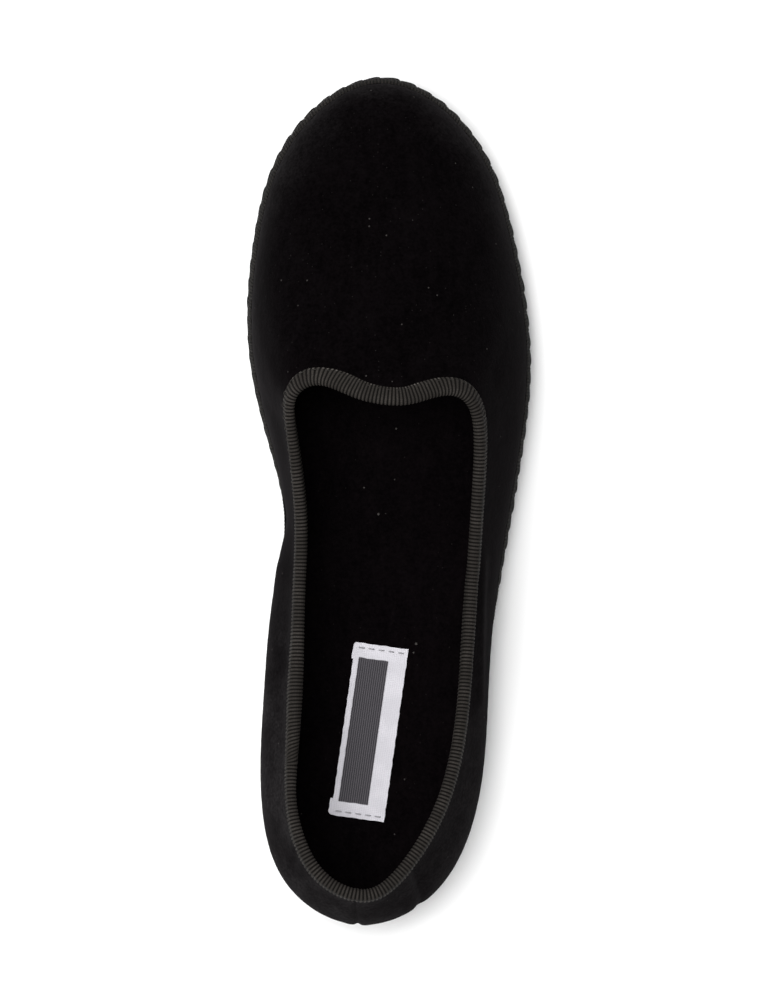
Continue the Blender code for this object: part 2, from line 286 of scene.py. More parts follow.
@dataclass
class Last:
    """The form that the shoe is made on, as functions of a place round the shoe and a way up the wall.

    The place runs from 0 at the centre back up the inner side, round the toe and back down the outer
    side to 1.
    """

    wall: float = 1.6
    ledge: float = 1.7
    sole_top: float = 10.0
    seat_gap: float = 0.3
    aim: float = 14.0
    flat_heel: Span = (-108.0, -58.0)
    flat_forefoot: Span = (8.0, 66.0)
    toe_spring: float = 5.5
    heel_spring: float = 1.0
    arch_rise: float = 1.2
    level_rise: float = 1.5
    stitch_pitch: float = 5.5
    stitch_lag: float = 0.6
    crease_end: float = 0.12
    crease_fade: float = 0.6
    fine_places: int = 900
    fine_climb: int = 80

    def __post_init__(self) -> None:
        """Lay the tapes and the table that turns lengths up the wall into the wall's own steps."""
        table = np.array([rib[1:] for rib in RIBS])
        runs = np.linalg.norm(np.roll(table[:, :2], -1, axis=0) - table[:, :2], axis=-1)
        self.ribs = ClosedSpline(np.append(0.0, np.cumsum(runs)[:-1]) / runs.sum(), table)
        fine = np.linspace(0.0, 1.0, self.fine_places, endpoint=False)
        self.rim_tape = TapeMeasure(fine, self.ribs(fine)[:, :2])
        self.collar_tape = TapeMeasure(fine, self.ribs(fine)[:, 2:5])
        self.stitches = round(self.rim_tape.length / self.stitch_pitch)
        self.heel_y = float(table[:, 1].min())
        self.toe_y = float(table[:, 1].max())
        steps = np.linspace(0.0, 1.0, self.fine_climb)
        line = np.stack([self.bare_wall(fine, np.full_like(fine, step)) for step in steps])
        climbed = np.cumsum(np.linalg.norm(np.diff(line, axis=0), axis=-1), axis=0)
        climbed = np.vstack([np.zeros_like(fine), climbed])
        self.heights = climbed[-1]
        shares = [np.interp(steps, column / column[-1], steps) for column in climbed.T]
        self.climb = np.array([*shares, shares[0]])

    def rim(self, place: Numbers) -> tuple[Numbers, Numbers]:
        """Edge of the sole from above.

        Args:
            place: places round the shoe.

        Returns:
            Points of the edge and the outward directions there.
        """
        ahead = self.ribs(place + TINY)[:, :2]
        behind = self.ribs(place - TINY)[:, :2]
        along = unit(ahead - behind)
        return self.ribs(place)[:, :2], np.stack([-along[:, 1], along[:, 0]], axis=-1)

    def bare_wall(self, place: Numbers, step: Numbers) -> Numbers:
        """Outer face of the wall before creases.

        Args:
            place: places round the shoe.
            step: the section curve's own steps, from 0 at the sole to 1 at the collar.

        Returns:
            Points in millimetres.
        """
        rib = self.ribs(place)
        edge, outward = self.rim(place)
        foot = edge - self.ledge * outward
        crest = rib[:, 2:4]
        inward = unit(foot - crest + self.aim * outward)
        collar = crest + self.wall / 2.0 * inward
        swell, rise, reach, drop = (rib[:, k, None] for k in range(5, 9))
        base = np.full_like(swell, self.sole_top + self.seat_gap)
        top = rib[:, 4, None]
        low = np.hstack([foot + swell * outward, base + rise])
        high = np.hstack([collar + reach * inward, top - drop])
        t = step[:, None]
        s = 1.0 - t
        ends = s**3 * np.hstack([foot, base]) + t**3 * np.hstack([collar, top])
        return ends + 3.0 * s**2 * t * low + 3.0 * s * t**2 * high

    def height(self, place: Numbers) -> Numbers:
        """Length up the wall from sole to collar."""
        fine = np.arange(self.fine_places + 1) / self.fine_places
        return np.interp(np.mod(place, 1.0), fine, np.append(self.heights, self.heights[0]))

    def steps_at(self, place: Numbers, share: Numbers) -> Numbers:
        """Read the table of steps.

        Args:
            place: places round the shoe.
            share: shares of the wall's length, from 0 at the sole to 1 at the collar.

        Returns:
            The section curve's own steps.
        """
        column = np.mod(place, 1.0) * self.fine_places
        row = np.clip(share, 0.0, 1.0) * (self.fine_climb - 1)
        i = np.minimum(column.astype(int), self.fine_places - 1)
        k = np.minimum(row.astype(int), self.fine_climb - 2)
        over = column - i
        up = row - k
        left = (1.0 - up) * self.climb[i, k] + up * self.climb[i, k + 1]
        right = (1.0 - up) * self.climb[i + 1, k] + up * self.climb[i + 1, k + 1]
        return (1.0 - over) * left + over * right

    def frame(self, place: Numbers, share: Numbers) -> tuple[Numbers, Numbers, Numbers]:
        """Where the wall is and how it stands.

        Args:
            place: places round the shoe.
            share: shares of the wall's length.

        Returns:
            Points, outward directions and upward directions.
        """
        step = self.steps_at(place, share)
        turn = self.bare_wall(place + TINY, step) - self.bare_wall(place - TINY, step)
        upward = unit(self.bare_wall(place, step + TINY) - self.bare_wall(place, step - TINY))
        return self.bare_wall(place, step), unit(np.cross(upward, turn)), upward

    def skin(self, place: Numbers, up: Numbers, lift: Numbers) -> Numbers:
        """Points over the wall.

        Args:
            place: places round the shoe.
            up: length up the wall from the sole, in millimetres.
            lift: distance outwards from the wall's outer face, in millimetres.

        Returns:
            Points in millimetres.
        """
        point, outward, _ = self.frame(place, up / self.height(place))
        level = smooth_step(up, 0.0, self.level_rise)
        outward = unit(outward * np.stack([np.ones_like(up), np.ones_like(up), level], axis=-1))
        return point + lift[:, None] * outward

    def relief(self, place: Numbers, up: Numbers) -> Numbers:
        """How far the creases lift the velvet.

        Args:
            place: places round the shoe.
            up: length up the wall from the sole, in millimetres.

        Returns:
            Lifts in millimetres, below 0 in a trough.
        """
        around = self.rim_tape.length
        along = self.rim_tape.along(place)
        middle = 1.0 - 2.0 * self.crease_end
        total = np.zeros_like(up)
        for crease in CREASES:
            run = np.array([crease.end_along - crease.along, crease.end_up - crease.up])
            far = np.mod(along - crease.along + around / 2.0, around) - around / 2.0
            rise = up - crease.up
            share = np.clip((far * run[0] + rise * run[1]) / (run @ run), 0.0, 1.0)
            apart = np.hypot(far - share * run[0], rise - share * run[1])
            fade = np.sin(np.pi * (self.crease_end + middle * share)) ** self.crease_fade
            total -= crease.depth * fade * np.exp(-((apart / crease.width) ** 2))
        return total

    def gathers(self, place: Numbers, up: Numbers) -> Numbers:
        """How far the sole's stitches draw the cloth in near the sole.

        Args:
            place: places round the shoe.
            up: length up the wall from the sole, in millimetres.

        Returns:
            Shares from -1 to 1, fading up the wall.
        """
        turn = 2.0 * np.pi * self.rim_tape.along(place) / self.rim_tape.length * self.stitches
        slow_out = turn - self.stitch_lag * (1.0 - np.cos(turn))
        return np.cos(slow_out) * np.exp(-up / self.stitch_pitch)

    def spring(self, y: Numbers) -> Numbers:
        """How far the sole stands off the floor: heel, arch and toe.

        Args:
            y: places along the foot, in millimetres.

        Returns:
            Lifts in millimetres.
        """
        toe = np.clip((y - self.flat_forefoot[1]) / (self.toe_y - self.flat_forefoot[1]), 0.0, None)
        heel = np.clip((self.flat_heel[0] - y) / (self.flat_heel[0] - self.heel_y), 0.0, None)
        arch_run = self.flat_forefoot[0] - self.flat_heel[1]
        arch = np.clip((y - self.flat_heel[1]) / arch_run, 0.0, 1.0)
        bow = self.arch_rise * np.sin(np.pi * arch) ** 2
        return self.toe_spring * toe**2 + self.heel_spring * heel**2 + bow


class Signal:
    """A number that varies over a surface. Arithmetic on it adds Math nodes."""

    def __init__(self, board: "NodeBoard", socket: Socket) -> None:
        """Wrap one output socket of a board."""
        self.board = board
        self.socket = socket

    def __add__(self, other: "Signal | float") -> "Signal":
        """self + other."""
        return self.board.math("ADD", self, other)

    def __radd__(self, other: float) -> "Signal":
        """other + self."""
        return self.board.math("ADD", other, self)

    def __sub__(self, other: "Signal | float") -> "Signal":
        """self - other."""
        return self.board.math("SUBTRACT", self, other)

    def __rsub__(self, other: float) -> "Signal":
        """other - self."""
        return self.board.math("SUBTRACT", other, self)

    def __mul__(self, other: "Signal | float") -> "Signal":
        """self * other."""
        return self.board.math("MULTIPLY", self, other)

    def __rmul__(self, other: float) -> "Signal":
        """other * self."""
        return self.board.math("MULTIPLY", other, self)

    def __abs__(self) -> "Signal":
        """Size without its sign."""
        return self.board.math("ABSOLUTE", self)

    def threads(self, count: float) -> "Signal":
        """Rounded threads side by side, so many to each step of 1."""
        return abs(self.board.math("SINE", self * (math.pi * count)))

    def ramp(self, low: float, high: float) -> "Signal":
        """A soft step.

        Args:
            low: where it is 0, which may be the larger of the two.
            high: where it is 1.

        Returns:
            Shares from 0 to 1.
        """
        sockets = {"Value": self, "From Min": low, "From Max": high}
        node = self.board.node("ShaderNodeMapRange", {"interpolation_type": "SMOOTHSTEP"}, sockets)
        return Signal(self.board, node.outputs[0])

    def band(self, start: float, end: float, soft: float) -> "Signal":
        """1 from start to end and 0 outside, with soft edges."""
        return self.ramp(start - soft, start + soft) * (1.0 - self.ramp(end - soft, end + soft))

    def between(self, low: float, high: float) -> "Signal":
        """low where the signal is 0 and high where it is 1."""
        return low + (high - low) * self


def blend(signals: Iterable[Signal], shares: Iterable[float]) -> Signal:
    """Signals added up, each by its share."""
    return reduce(add, (signal * share for signal, share in zip(signals, shares)))


class Grain(NamedTuple):
    """Soft noise: features to the metre, finer layers, and how far each axis is stretched."""

    scale: float
    detail: float
    stretch: Triple = (1.0, 1.0, 1.0)


class Specks(NamedTuple):
    """Small dots scattered in cells.

    cells is their number to the metre and radius is in cells. crowd multiplies the share of cells
    that hold a dot, and strength is how much of a dot shows.
    """

    cells: float
    radius: float
    crowd: float
    strength: float


class NodeBoard:
    """The node tree of one finish, round its Principled shader."""

    CHANCE_EDGE = 0.8
    DOT_CORE = 0.6
    SPOT_CORE = 0.4

    def __init__(self, name: str, constants: dict[str, object]) -> None:
        """Start a material.

        Args:
            name: the material's name.
            constants: values of the shader's own sockets that are the same all over.
        """
        self.material = bpy.data.materials.new(name)
        self.material.use_nodes = True
        self.tree = self.material.node_tree
        self.shader = self.tree.nodes["Principled BSDF"]
        self.places: dict[Triple, Socket] = {}
        for socket, value in constants.items():
            self.feed(self.shader.inputs[socket], value)

    def feed(self, socket: Socket, value: object) -> None:
        """Link or set a socket.

        Args:
            socket: an input of a node.
            value: a signal or an output to link, or a plain value.
        """
        if isinstance(value, Signal):
            value = value.socket
        if isinstance(value, Socket):
            self.tree.links.new(value, socket)
        elif isinstance(value, tuple) and len(value) == 3 and socket.type == "RGBA":
            socket.default_value = (*value, 1.0)
        else:
            socket.default_value = value

    def node(
        self, kind: str, settings: dict[str, object], sockets: dict[str | int, object]
    ) -> bpy.types.Node:
        """Add any node.

        Args:
            kind: the node's type.
            settings: the node's own settings, set first.
            sockets: values or links of its inputs, by name or number.

        Returns:
            The new node.
        """
        node = self.tree.nodes.new(kind)
        for name, value in settings.items():
            setattr(node, name, value)
        for name, value in sockets.items():
            self.feed(node.inputs[name], value)
        return node

    def math(self, operation: str, *values: Signal | float) -> Signal:
        """One Math node."""
        node = self.node("ShaderNodeMath", {"operation": operation}, dict(enumerate(values)))
        return Signal(self, node.outputs[0])

    def place(self, stretch: Triple = (1.0, 1.0, 1.0)) -> Socket:
        """Object coordinates.

        Args:
            stretch: factor along each axis.

        Returns:
            A vector in metres.
        """
        if stretch not in self.places:
            coordinates = self.node("ShaderNodeTexCoord", {}, {})
            sockets = {"Vector": coordinates.outputs["Object"], "Scale": stretch}
            self.places[stretch] = self.node("ShaderNodeMapping", {}, sockets).outputs[0]
        return self.places[stretch]

    def parts(self, vector: Socket) -> list[Signal]:
        """The three numbers of a vector."""
        return [Signal(self, part) for part in self.node("ShaderNodeSeparateXYZ", {}, {0: vector}).outputs]

    def sheet_map(self, name: str) -> list[Signal]:
        """The two coordinates of a UV map."""
        return self.parts(self.node("ShaderNodeUVMap", {"uv_map": name}, {}).outputs[0])[:2]

    def noise(self, grain: Grain) -> Signal:
        """Soft noise, from 0 to 1 about 0.5."""
        sockets = {"Vector": self.place(grain.stretch), "Scale": grain.scale, "Detail": grain.detail}
        return Signal(self, self.node("ShaderNodeTexNoise", {}, sockets).outputs[0])

    def specks(self, dots: Specks, share: float) -> Signal:
        """Sparse small dots.

        Args:
            dots: their size and number.
            share: share of the cells that hold a dot, before crowding.

        Returns:
            The dots' strength in a dot and 0 outside.
        """
        cell = self.node("ShaderNodeTexVoronoi", {}, {"Vector": self.place(), "Scale": dots.cells})
        chance = self.node("ShaderNodeSeparateColor", {}, {0: cell.outputs["Color"]})
        most = share * dots.crowd
        held = Signal(self, chance.outputs[0]).ramp(most, most * self.CHANCE_EDGE)
        near = Signal(self, cell.outputs["Distance"]).ramp(dots.radius, dots.radius * self.DOT_CORE)
        return near * held * dots.strength

    def spot(self, x: float, y: float, radius: float) -> Signal:
        """One soft dot seen from above.

        Args:
            x: its place across the shoe, in millimetres.
            y: its place along the shoe, in millimetres.
            radius: its size, in millimetres.

        Returns:
            1 in the dot and 0 outside.
        """
        from_above = {0: self.place(), 1: (1.0, 1.0, 0.0)}
        flat = self.node("ShaderNodeVectorMath", {"operation": "MULTIPLY"}, from_above)
        ends = {0: flat.outputs[0], 1: (x * MM, y * MM, 0.0)}
        apart = self.node("ShaderNodeVectorMath", {"operation": "DISTANCE"}, ends)
        return Signal(self, apart.outputs["Value"]).ramp(radius * MM, radius * self.SPOT_CORE * MM)

    def mix(self, share: Signal, first: object, second: object) -> Socket:
        """A colour between two colours."""
        settings = {"data_type": "RGBA", "clamp_factor": True}
        return self.node("ShaderNodeMix", settings, {0: share, 6: first, 7: second}).outputs[2]

    def bump(self, height: Signal, distance: float, under: Socket | None = None) -> Socket:
        """Raise the surface.

        Args:
            height: relief from 0 to 1.
            distance: size of the relief, in millimetres.
            under: a normal to add to.

        Returns:
            The new normal.
        """
        sockets = {"Height": height, "Distance": distance * MM, "Strength": 1.0}
        if under is not None:
            sockets["Normal"] = under
        return self.node("ShaderNodeBump", {}, sockets).outputs[0]

    def finish(self, **varying: object) -> bpy.types.Material:
        """Feed what varies into the shader: colour, roughness, normal.

        Args:
            varying: signals or sockets, by the shader's socket name with _ for a space.

        Returns:
            The material.
        """
        for name, value in varying.items():
            self.feed(self.shader.inputs[name.replace("_", " ")], value)
        return self.material


def metres(span: Span) -> Span:
    """A span of millimetres, in metres."""
    return span[0] * MM, span[1] * MM


@dataclass(frozen=True)
class Velvet:
    """Short black pile that lights up where it is seen along the surface.

    The spans of painted sheen, in millimetres, say where the colour is lightened as painted sheen, for the
    light that the pile catches: back to the heel, over to the inner side, forward to the toe and down to
    the foot of the toe.
    """

    name: str
    deep: Colour = (0.0006, 0.0004, 0.0005)
    brushed: Colour = (0.0026, 0.0020, 0.0023)
    # Painted sheen: two lighter tones, and below them the spans and shares that place them, for the light
    # the pile catches.
    raised: tuple[Colour, Colour] = ((0.0045, 0.0041, 0.0043), (0.0120, 0.0110, 0.0115))
    painted_sheen_heel: Span = (-10.0, -72.0)
    painted_sheen_side: Span = (20.0, -28.0)
    painted_sheen_toe: Span = (58.0, 96.0)
    painted_sheen_low: Span = (36.0, 17.0)
    painted_sheen_outer: float = 0.45
    painted_sheen_toe_share: float = 0.7
    painted_sheen_share: float = 0.0
    sheen: float = 0.021
    sheen_spread: float = 0.42
    sheen_tint: Colour = (1.0, 0.95, 0.98)
    pile: Grain = Grain(1250.0, 5.0)
    tuft: Grain = Grain(560.0, 4.0)
    stroke: Grain = Grain(320.0, 4.0, (1.0, 0.35, 1.0))
    patch: Grain = Grain(55.0, 3.0)
    mottle: Grain = Grain(150.0, 3.0, (1.0, 1.0, 0.6))
    lay_shares: tuple[float, ...] = (0.2, 0.2, 0.25, 0.35)
    lay_span: Span = (0.3, 0.7)
    nap_shares: Pair = (0.35, 0.65)
    nap_span: Span = (0.36, 0.64)
    mottle_shares: Pair = (0.5, 0.5)
    mottle_span: Span = (0.37, 0.63)
    mottle_reach: Span = (0.5, 1.5)
    patch_relief: float = 0.6
    tuft_shares: Pair = (0.7, 0.3)
    tuft_relief: float = 0.07
    pile_relief: float = 0.10
    rough: Span = (0.85, 0.97)
    lint: Colour = (0.050, 0.046, 0.044)
    lint_share: float = 0.10
    lint_specks: tuple[Specks, ...] = (Specks(400.0, 0.12, 1.0, 0.6), Specks(760.0, 0.15, 2.0, 0.15))
    lint_places: tuple[Triple, ...] = ()

    def material(self) -> bpy.types.Material:
        """Pile, brushed patches, painted sheen and lint.

        Returns:
            The material.
        """
        constants = {
            "Specular IOR Level": 0.0,
            "Sheen Weight": self.sheen,
            "Sheen Roughness": self.sheen_spread,
            "Sheen Tint": self.sheen_tint,
        }
        board = NodeBoard(self.name, constants)
        pile = board.noise(self.pile)
        tuft = board.noise(self.tuft)
        stroke = board.noise(self.stroke)
        patch = board.noise(self.patch)
        lay = blend((patch, stroke, tuft, pile), self.lay_shares)
        nap = board.mix(lay.ramp(*self.lay_span), self.deep, self.brushed)
        if self.painted_sheen_share > 0.0:
            # Painted sheen: a lighter, mottled colour where the lamps catch the pile.
            grainy = blend((tuft, pile), self.nap_shares).ramp(*self.nap_span)
            nap = board.mix(self.painted_sheen_mask(board, patch), nap, board.mix(grainy, *self.raised))
        normal = board.bump(patch, self.patch_relief)
        normal = board.bump(blend((tuft, stroke), self.tuft_shares), self.tuft_relief, normal)
        normal = board.bump(pile, self.pile_relief, normal)
        return board.finish(
            Base_Color=board.mix(self.fluff(board), nap, self.lint),
            Roughness=pile.between(*self.rough),
            Normal=normal,
        )

    def fluff(self, board: NodeBoard) -> Signal:
        """Lint all over and at a few known places."""
        parts = [board.specks(dots, self.lint_share) for dots in self.lint_specks]
        return reduce(add, parts + [board.spot(*place) for place in self.lint_places])

    def painted_sheen_mask(self, board: NodeBoard, patch: Signal) -> Signal:
        """Where sheen is painted into the colour: the heel, most on its inner side, and the foot of the
        toe.

        Args:
            board: the finish's board.
            patch: slow noise that the mottling follows.

        Returns:
            A share from 0 to about 1.
        """
        x, y, z = board.parts(board.place())
        side = x.ramp(*metres(self.painted_sheen_side)).between(self.painted_sheen_outer, 1.0)
        heel = y.ramp(*metres(self.painted_sheen_heel)) * side
        toe = y.ramp(*metres(self.painted_sheen_toe)) * z.ramp(*metres(self.painted_sheen_low)) * self.painted_sheen_toe_share
        mottle = blend((patch, board.noise(self.mottle)), self.mottle_shares).ramp(*self.mottle_span)
        return (heel + toe) * mottle.between(*self.mottle_reach) * self.painted_sheen_share


@dataclass(frozen=True)
class Grosgrain:
    """Ribbed ribbon: rounded weft ribs under fine warp threads, with painted shade in the grooves between
    ribs and painted glints along its edge.

    edge is where the ribbon's face ends in its map's second coordinate.
    """

    name: str
    ribs: int
    edge: float
    warps: float = 46.0
    # groove is painted shade between the ribs; crown is the ribs' own tone.
    groove: Colour = (0.0040, 0.0035, 0.0031)
    crown: Colour = (0.0205, 0.0182, 0.0163)
    worn: Colour = (0.038, 0.034, 0.0305)
    # loop is a painted highlight: glints along the ribbon's edge.
    loop: Colour = (0.088, 0.081, 0.074)
    gloss: float = 0.04
    sheen: float = 0.003
    sheen_spread: float = 0.4
    sheen_tint: Colour = (1.0, 0.97, 0.92)
    fuzz: Grain = Grain(3200.0, 2.0)
    patch: Grain = Grain(140.0, 2.0)
    # pull scatters the painted glints along the edge.
    pull: Grain = Grain(420.0, 1.0)
    crown_span: Span = (0.35, 1.0)
    worn_shares: Pair = (0.5, 0.5)
    worn_span: Span = (0.42, 0.7)
    worn_rib: Span = (0.5, 1.0)
    glint_depth: float = 0.045
    glint_full: float = 0.3
    glint_rib: Span = (0.6, 0.95)
    glint_fuzz: Span = (0.3, 0.55)
    glint_span: Span = (0.46, 0.64)
    relief_shares: Pair = (0.6, 0.5)
    relief: float = 0.07
    rough: Span = (0.62, 0.87)

    def material(self) -> bpy.types.Material:
        """Ribs by the map's first coordinate, warp threads by its second.

        Returns:
            The material.
        """
        constants = {
            "Specular IOR Level": self.gloss,
            "Sheen Weight": self.sheen,
            "Sheen Roughness": self.sheen_spread,
            "Sheen Tint": self.sheen_tint,
        }
        board = NodeBoard(self.name, constants)
        round_shoe, over = board.sheet_map("ribbon")
        rib = round_shoe.threads(self.ribs)
        warp = over.threads(self.warps)
        fuzz = board.noise(self.fuzz)
        patch = board.noise(self.patch)
        # Painted shade: the grooves between ribs are darker than the crowns.
        cloth = board.mix(rib.ramp(*self.crown_span), self.groove, self.crown)
        rubbed = blend((patch, fuzz), self.worn_shares).ramp(*self.worn_span)
        cloth = board.mix(rubbed * rib.ramp(*self.worn_rib), cloth, self.worn)
        # Painted highlight: sparse glints on the ribs along the face's edge.
        turned = over.ramp(self.edge - self.glint_depth, self.edge - self.glint_full * self.glint_depth)
        glinting = board.noise(self.pull).ramp(*self.glint_span) * fuzz.ramp(*self.glint_fuzz)
        cloth = board.mix(turned * rib.ramp(*self.glint_rib) * glinting, cloth, self.loop)
        normal = board.bump(blend((warp, fuzz), self.relief_shares), self.relief)
        return board.finish(Base_Color=cloth, Roughness=fuzz.between(*self.rough), Normal=normal)


@dataclass(frozen=True)
class Thread:
    """Waxed sewing thread, twisted from plies."""

    name: str
    dark: Colour = (0.0016, 0.0014, 0.0013)
    light: Colour = (0.0070, 0.0063, 0.0058)
    plies: float = 3.0
    twist: float = 9.0
    gloss: float = 0.08
    fibre: Grain = Grain(2400.0, 2.0)
    tone_shares: Pair = (0.7, 0.3)
    tone_span: Span = (0.2, 0.9)
    relief_shares: Pair = (1.0, 0.3)
    relief: float = 0.12
    rough: Span = (0.5, 0.75)

    def material(self) -> bpy.types.Material:
        """Plies that wind along the thread.

        Returns:
            The material.
        """
        board = NodeBoard(self.name, {"Specular IOR Level": self.gloss})
        ply = blend(board.sheet_map("thread"), (self.plies, self.twist)).threads(1.0)
        fibre = board.noise(self.fibre)
        tone = blend((ply, fibre), self.tone_shares).ramp(*self.tone_span)
        return board.finish(
            Base_Color=board.mix(tone, self.dark, self.light),
            Roughness=fibre.between(*self.rough),
            Normal=board.bump(blend((ply, fibre), self.relief_shares), self.relief),
        )


@dataclass(frozen=True)
class LayeredCloth:
    """Stacked cloth seen on its cut edges."""

    name: str
    dark: Colour = (0.006, 0.0054, 0.005)
    light: Colour = (0.024, 0.022, 0.020)
    gloss: float = 0.1
    sheen: float = 0.04
    ends: Grain = Grain(1900.0, 3.0, (1.0, 1.0, 0.45))
    layer: Grain = Grain(1500.0, 1.0, (0.05, 0.05, 1.0))
    patch: Grain = Grain(90.0, 2.0)
    fray_shares: Triple = (0.55, 0.3, 0.15)
    fray_span: Span = (0.35, 0.68)
    relief_shares: Pair = (1.0, 0.6)
    relief: float = 0.22
    rough: Span = (0.86, 0.96)

    def material(self) -> bpy.types.Material:
        """Cut thread ends in thin level lines.

        Returns:
            The material.
        """
        board = NodeBoard(self.name, {"Specular IOR Level": self.gloss, "Sheen Weight": self.sheen})
        ends = board.noise(self.ends)
        layer = board.noise(self.layer)
        fray = blend((ends, layer, board.noise(self.patch)), self.fray_shares)
        return board.finish(
            Base_Color=board.mix(fray.ramp(*self.fray_span), self.dark, self.light),
            Roughness=ends.between(*self.rough),
            Normal=board.bump(blend((ends, layer), self.relief_shares), self.relief),
        )


@dataclass(frozen=True)
class Rubber:
    """Moulded black rubber, dusty where it meets the floor."""

    name: str
    black: Colour = (0.007, 0.007, 0.007)
    bloomed: Colour = (0.016, 0.016, 0.015)
    dust: Colour = (0.045, 0.042, 0.038)
    gloss: float = 0.22
    grain: Grain = Grain(1500.0, 3.0)
    bloom: Grain = Grain(70.0, 4.0)
    bloom_span: Span = (0.3, 0.75)
    dust_height: float = 0.9
    dust_span: Span = (0.42, 0.7)
    dust_share: float = 0.7
    relief: float = 0.06
    rough: float = 0.55
    rough_shares: Pair = (0.2, 0.12)

    def material(self) -> bpy.types.Material:
        """Fine grain, a faint bloom and dust on the tread.

        Returns:
            The material.
        """
        board = NodeBoard(self.name, {"Specular IOR Level": self.gloss})
        grain = board.noise(self.grain)
        bloom = board.noise(self.bloom)
        height = board.parts(board.place())[2]
        dusty = height.ramp(self.dust_height * MM, 0.0) * bloom.ramp(*self.dust_span)
        colour = board.mix(bloom.ramp(*self.bloom_span), self.black, self.bloomed)
        return board.finish(
            Base_Color=board.mix(dusty * self.dust_share, colour, self.dust),
            Roughness=self.rough + blend((bloom, grain), self.rough_shares),
            Normal=board.bump(grain, self.relief),
        )


@dataclass(frozen=True)
class WovenTape:
    """White tape with one plain stripe woven along it, placed by shares of the tape's width and length."""

    name: str
    white: Colour = (0.645, 0.63, 0.67)
    shade: Colour = (0.48, 0.47, 0.505)
    charcoal: Colour = (0.020, 0.018, 0.022)
    thread: Colour = (0.086, 0.081, 0.090)
    stripe: Span = (0.10, 0.66)
    stripe_soft: float = 0.010
    stripe_ends: Span = (0.153, 0.847)
    end_soft: float = 0.002
    warps: float = 25.0
    wefts: float = 120.0
    gloss: float = 0.25
    sheen: float = 0.05
    fuzz: Grain = Grain(3000.0, 2.0)
    # Soft patches of painted shade over the white ground.
    shade_patches: Grain = Grain(170.0, 2.0)
    shade_patch_span: Span = (0.36, 0.64)
    shade_patch_reach: Span = (0.65, 1.0)
    weave_shares: Triple = (0.3, 0.3, 0.4)
    weave_span: Span = (0.1, 0.7)
    stripe_shares: Pair = (0.65, 0.35)
    stripe_span: Span = (0.3, 0.95)
    relief: float = 0.10
    rough: Span = (0.7, 0.9)

    def material(self) -> bpy.types.Material:
        """Warp threads by the map's first coordinate, weft lines by its second.

        Returns:
            The material.
        """
        board = NodeBoard(self.name, {"Specular IOR Level": self.gloss, "Sheen Weight": self.sheen})
        over, along = board.sheet_map("tape")
        fuzz = board.noise(self.fuzz)
        warp = over.threads(self.warps)
        weave = blend((warp, along.threads(self.wefts), fuzz), self.weave_shares)
        # Painted shade: the white darkens towards shade between threads and in soft patches.
        unshaded = board.noise(self.shade_patches).ramp(*self.shade_patch_span).between(*self.shade_patch_reach)
        ground = board.mix(weave.ramp(*self.weave_span) * unshaded, self.shade, self.white)
        streaks = blend((warp, fuzz), self.stripe_shares).ramp(*self.stripe_span)
        figure = board.mix(streaks, self.charcoal, self.thread)
        stripe = over.band(*self.stripe, self.stripe_soft) * along.band(*self.stripe_ends, self.end_soft)
        return board.finish(
            Base_Color=board.mix(stripe, ground, figure),
            Roughness=fuzz.between(*self.rough),
            Normal=board.bump(weave, self.relief),
        )


@dataclass(frozen=True)
class FloorPaint:
    """Plain pale studio floor."""

    name: str = "floor_paint"
    pale: Colour = (0.90, 0.90, 0.90)
    bright: Colour = (0.93, 0.93, 0.93)
    mottle: Grain = Grain(3.0, 2.0)

    def material(self) -> bpy.types.Material:
        """Matt paint with the faintest mottle."""
        board = NodeBoard(self.name, {"Specular IOR Level": 0.0, "Roughness": 1.0})
        return board.finish(Base_Color=board.mix(board.noise(self.mottle), self.pale, self.bright))


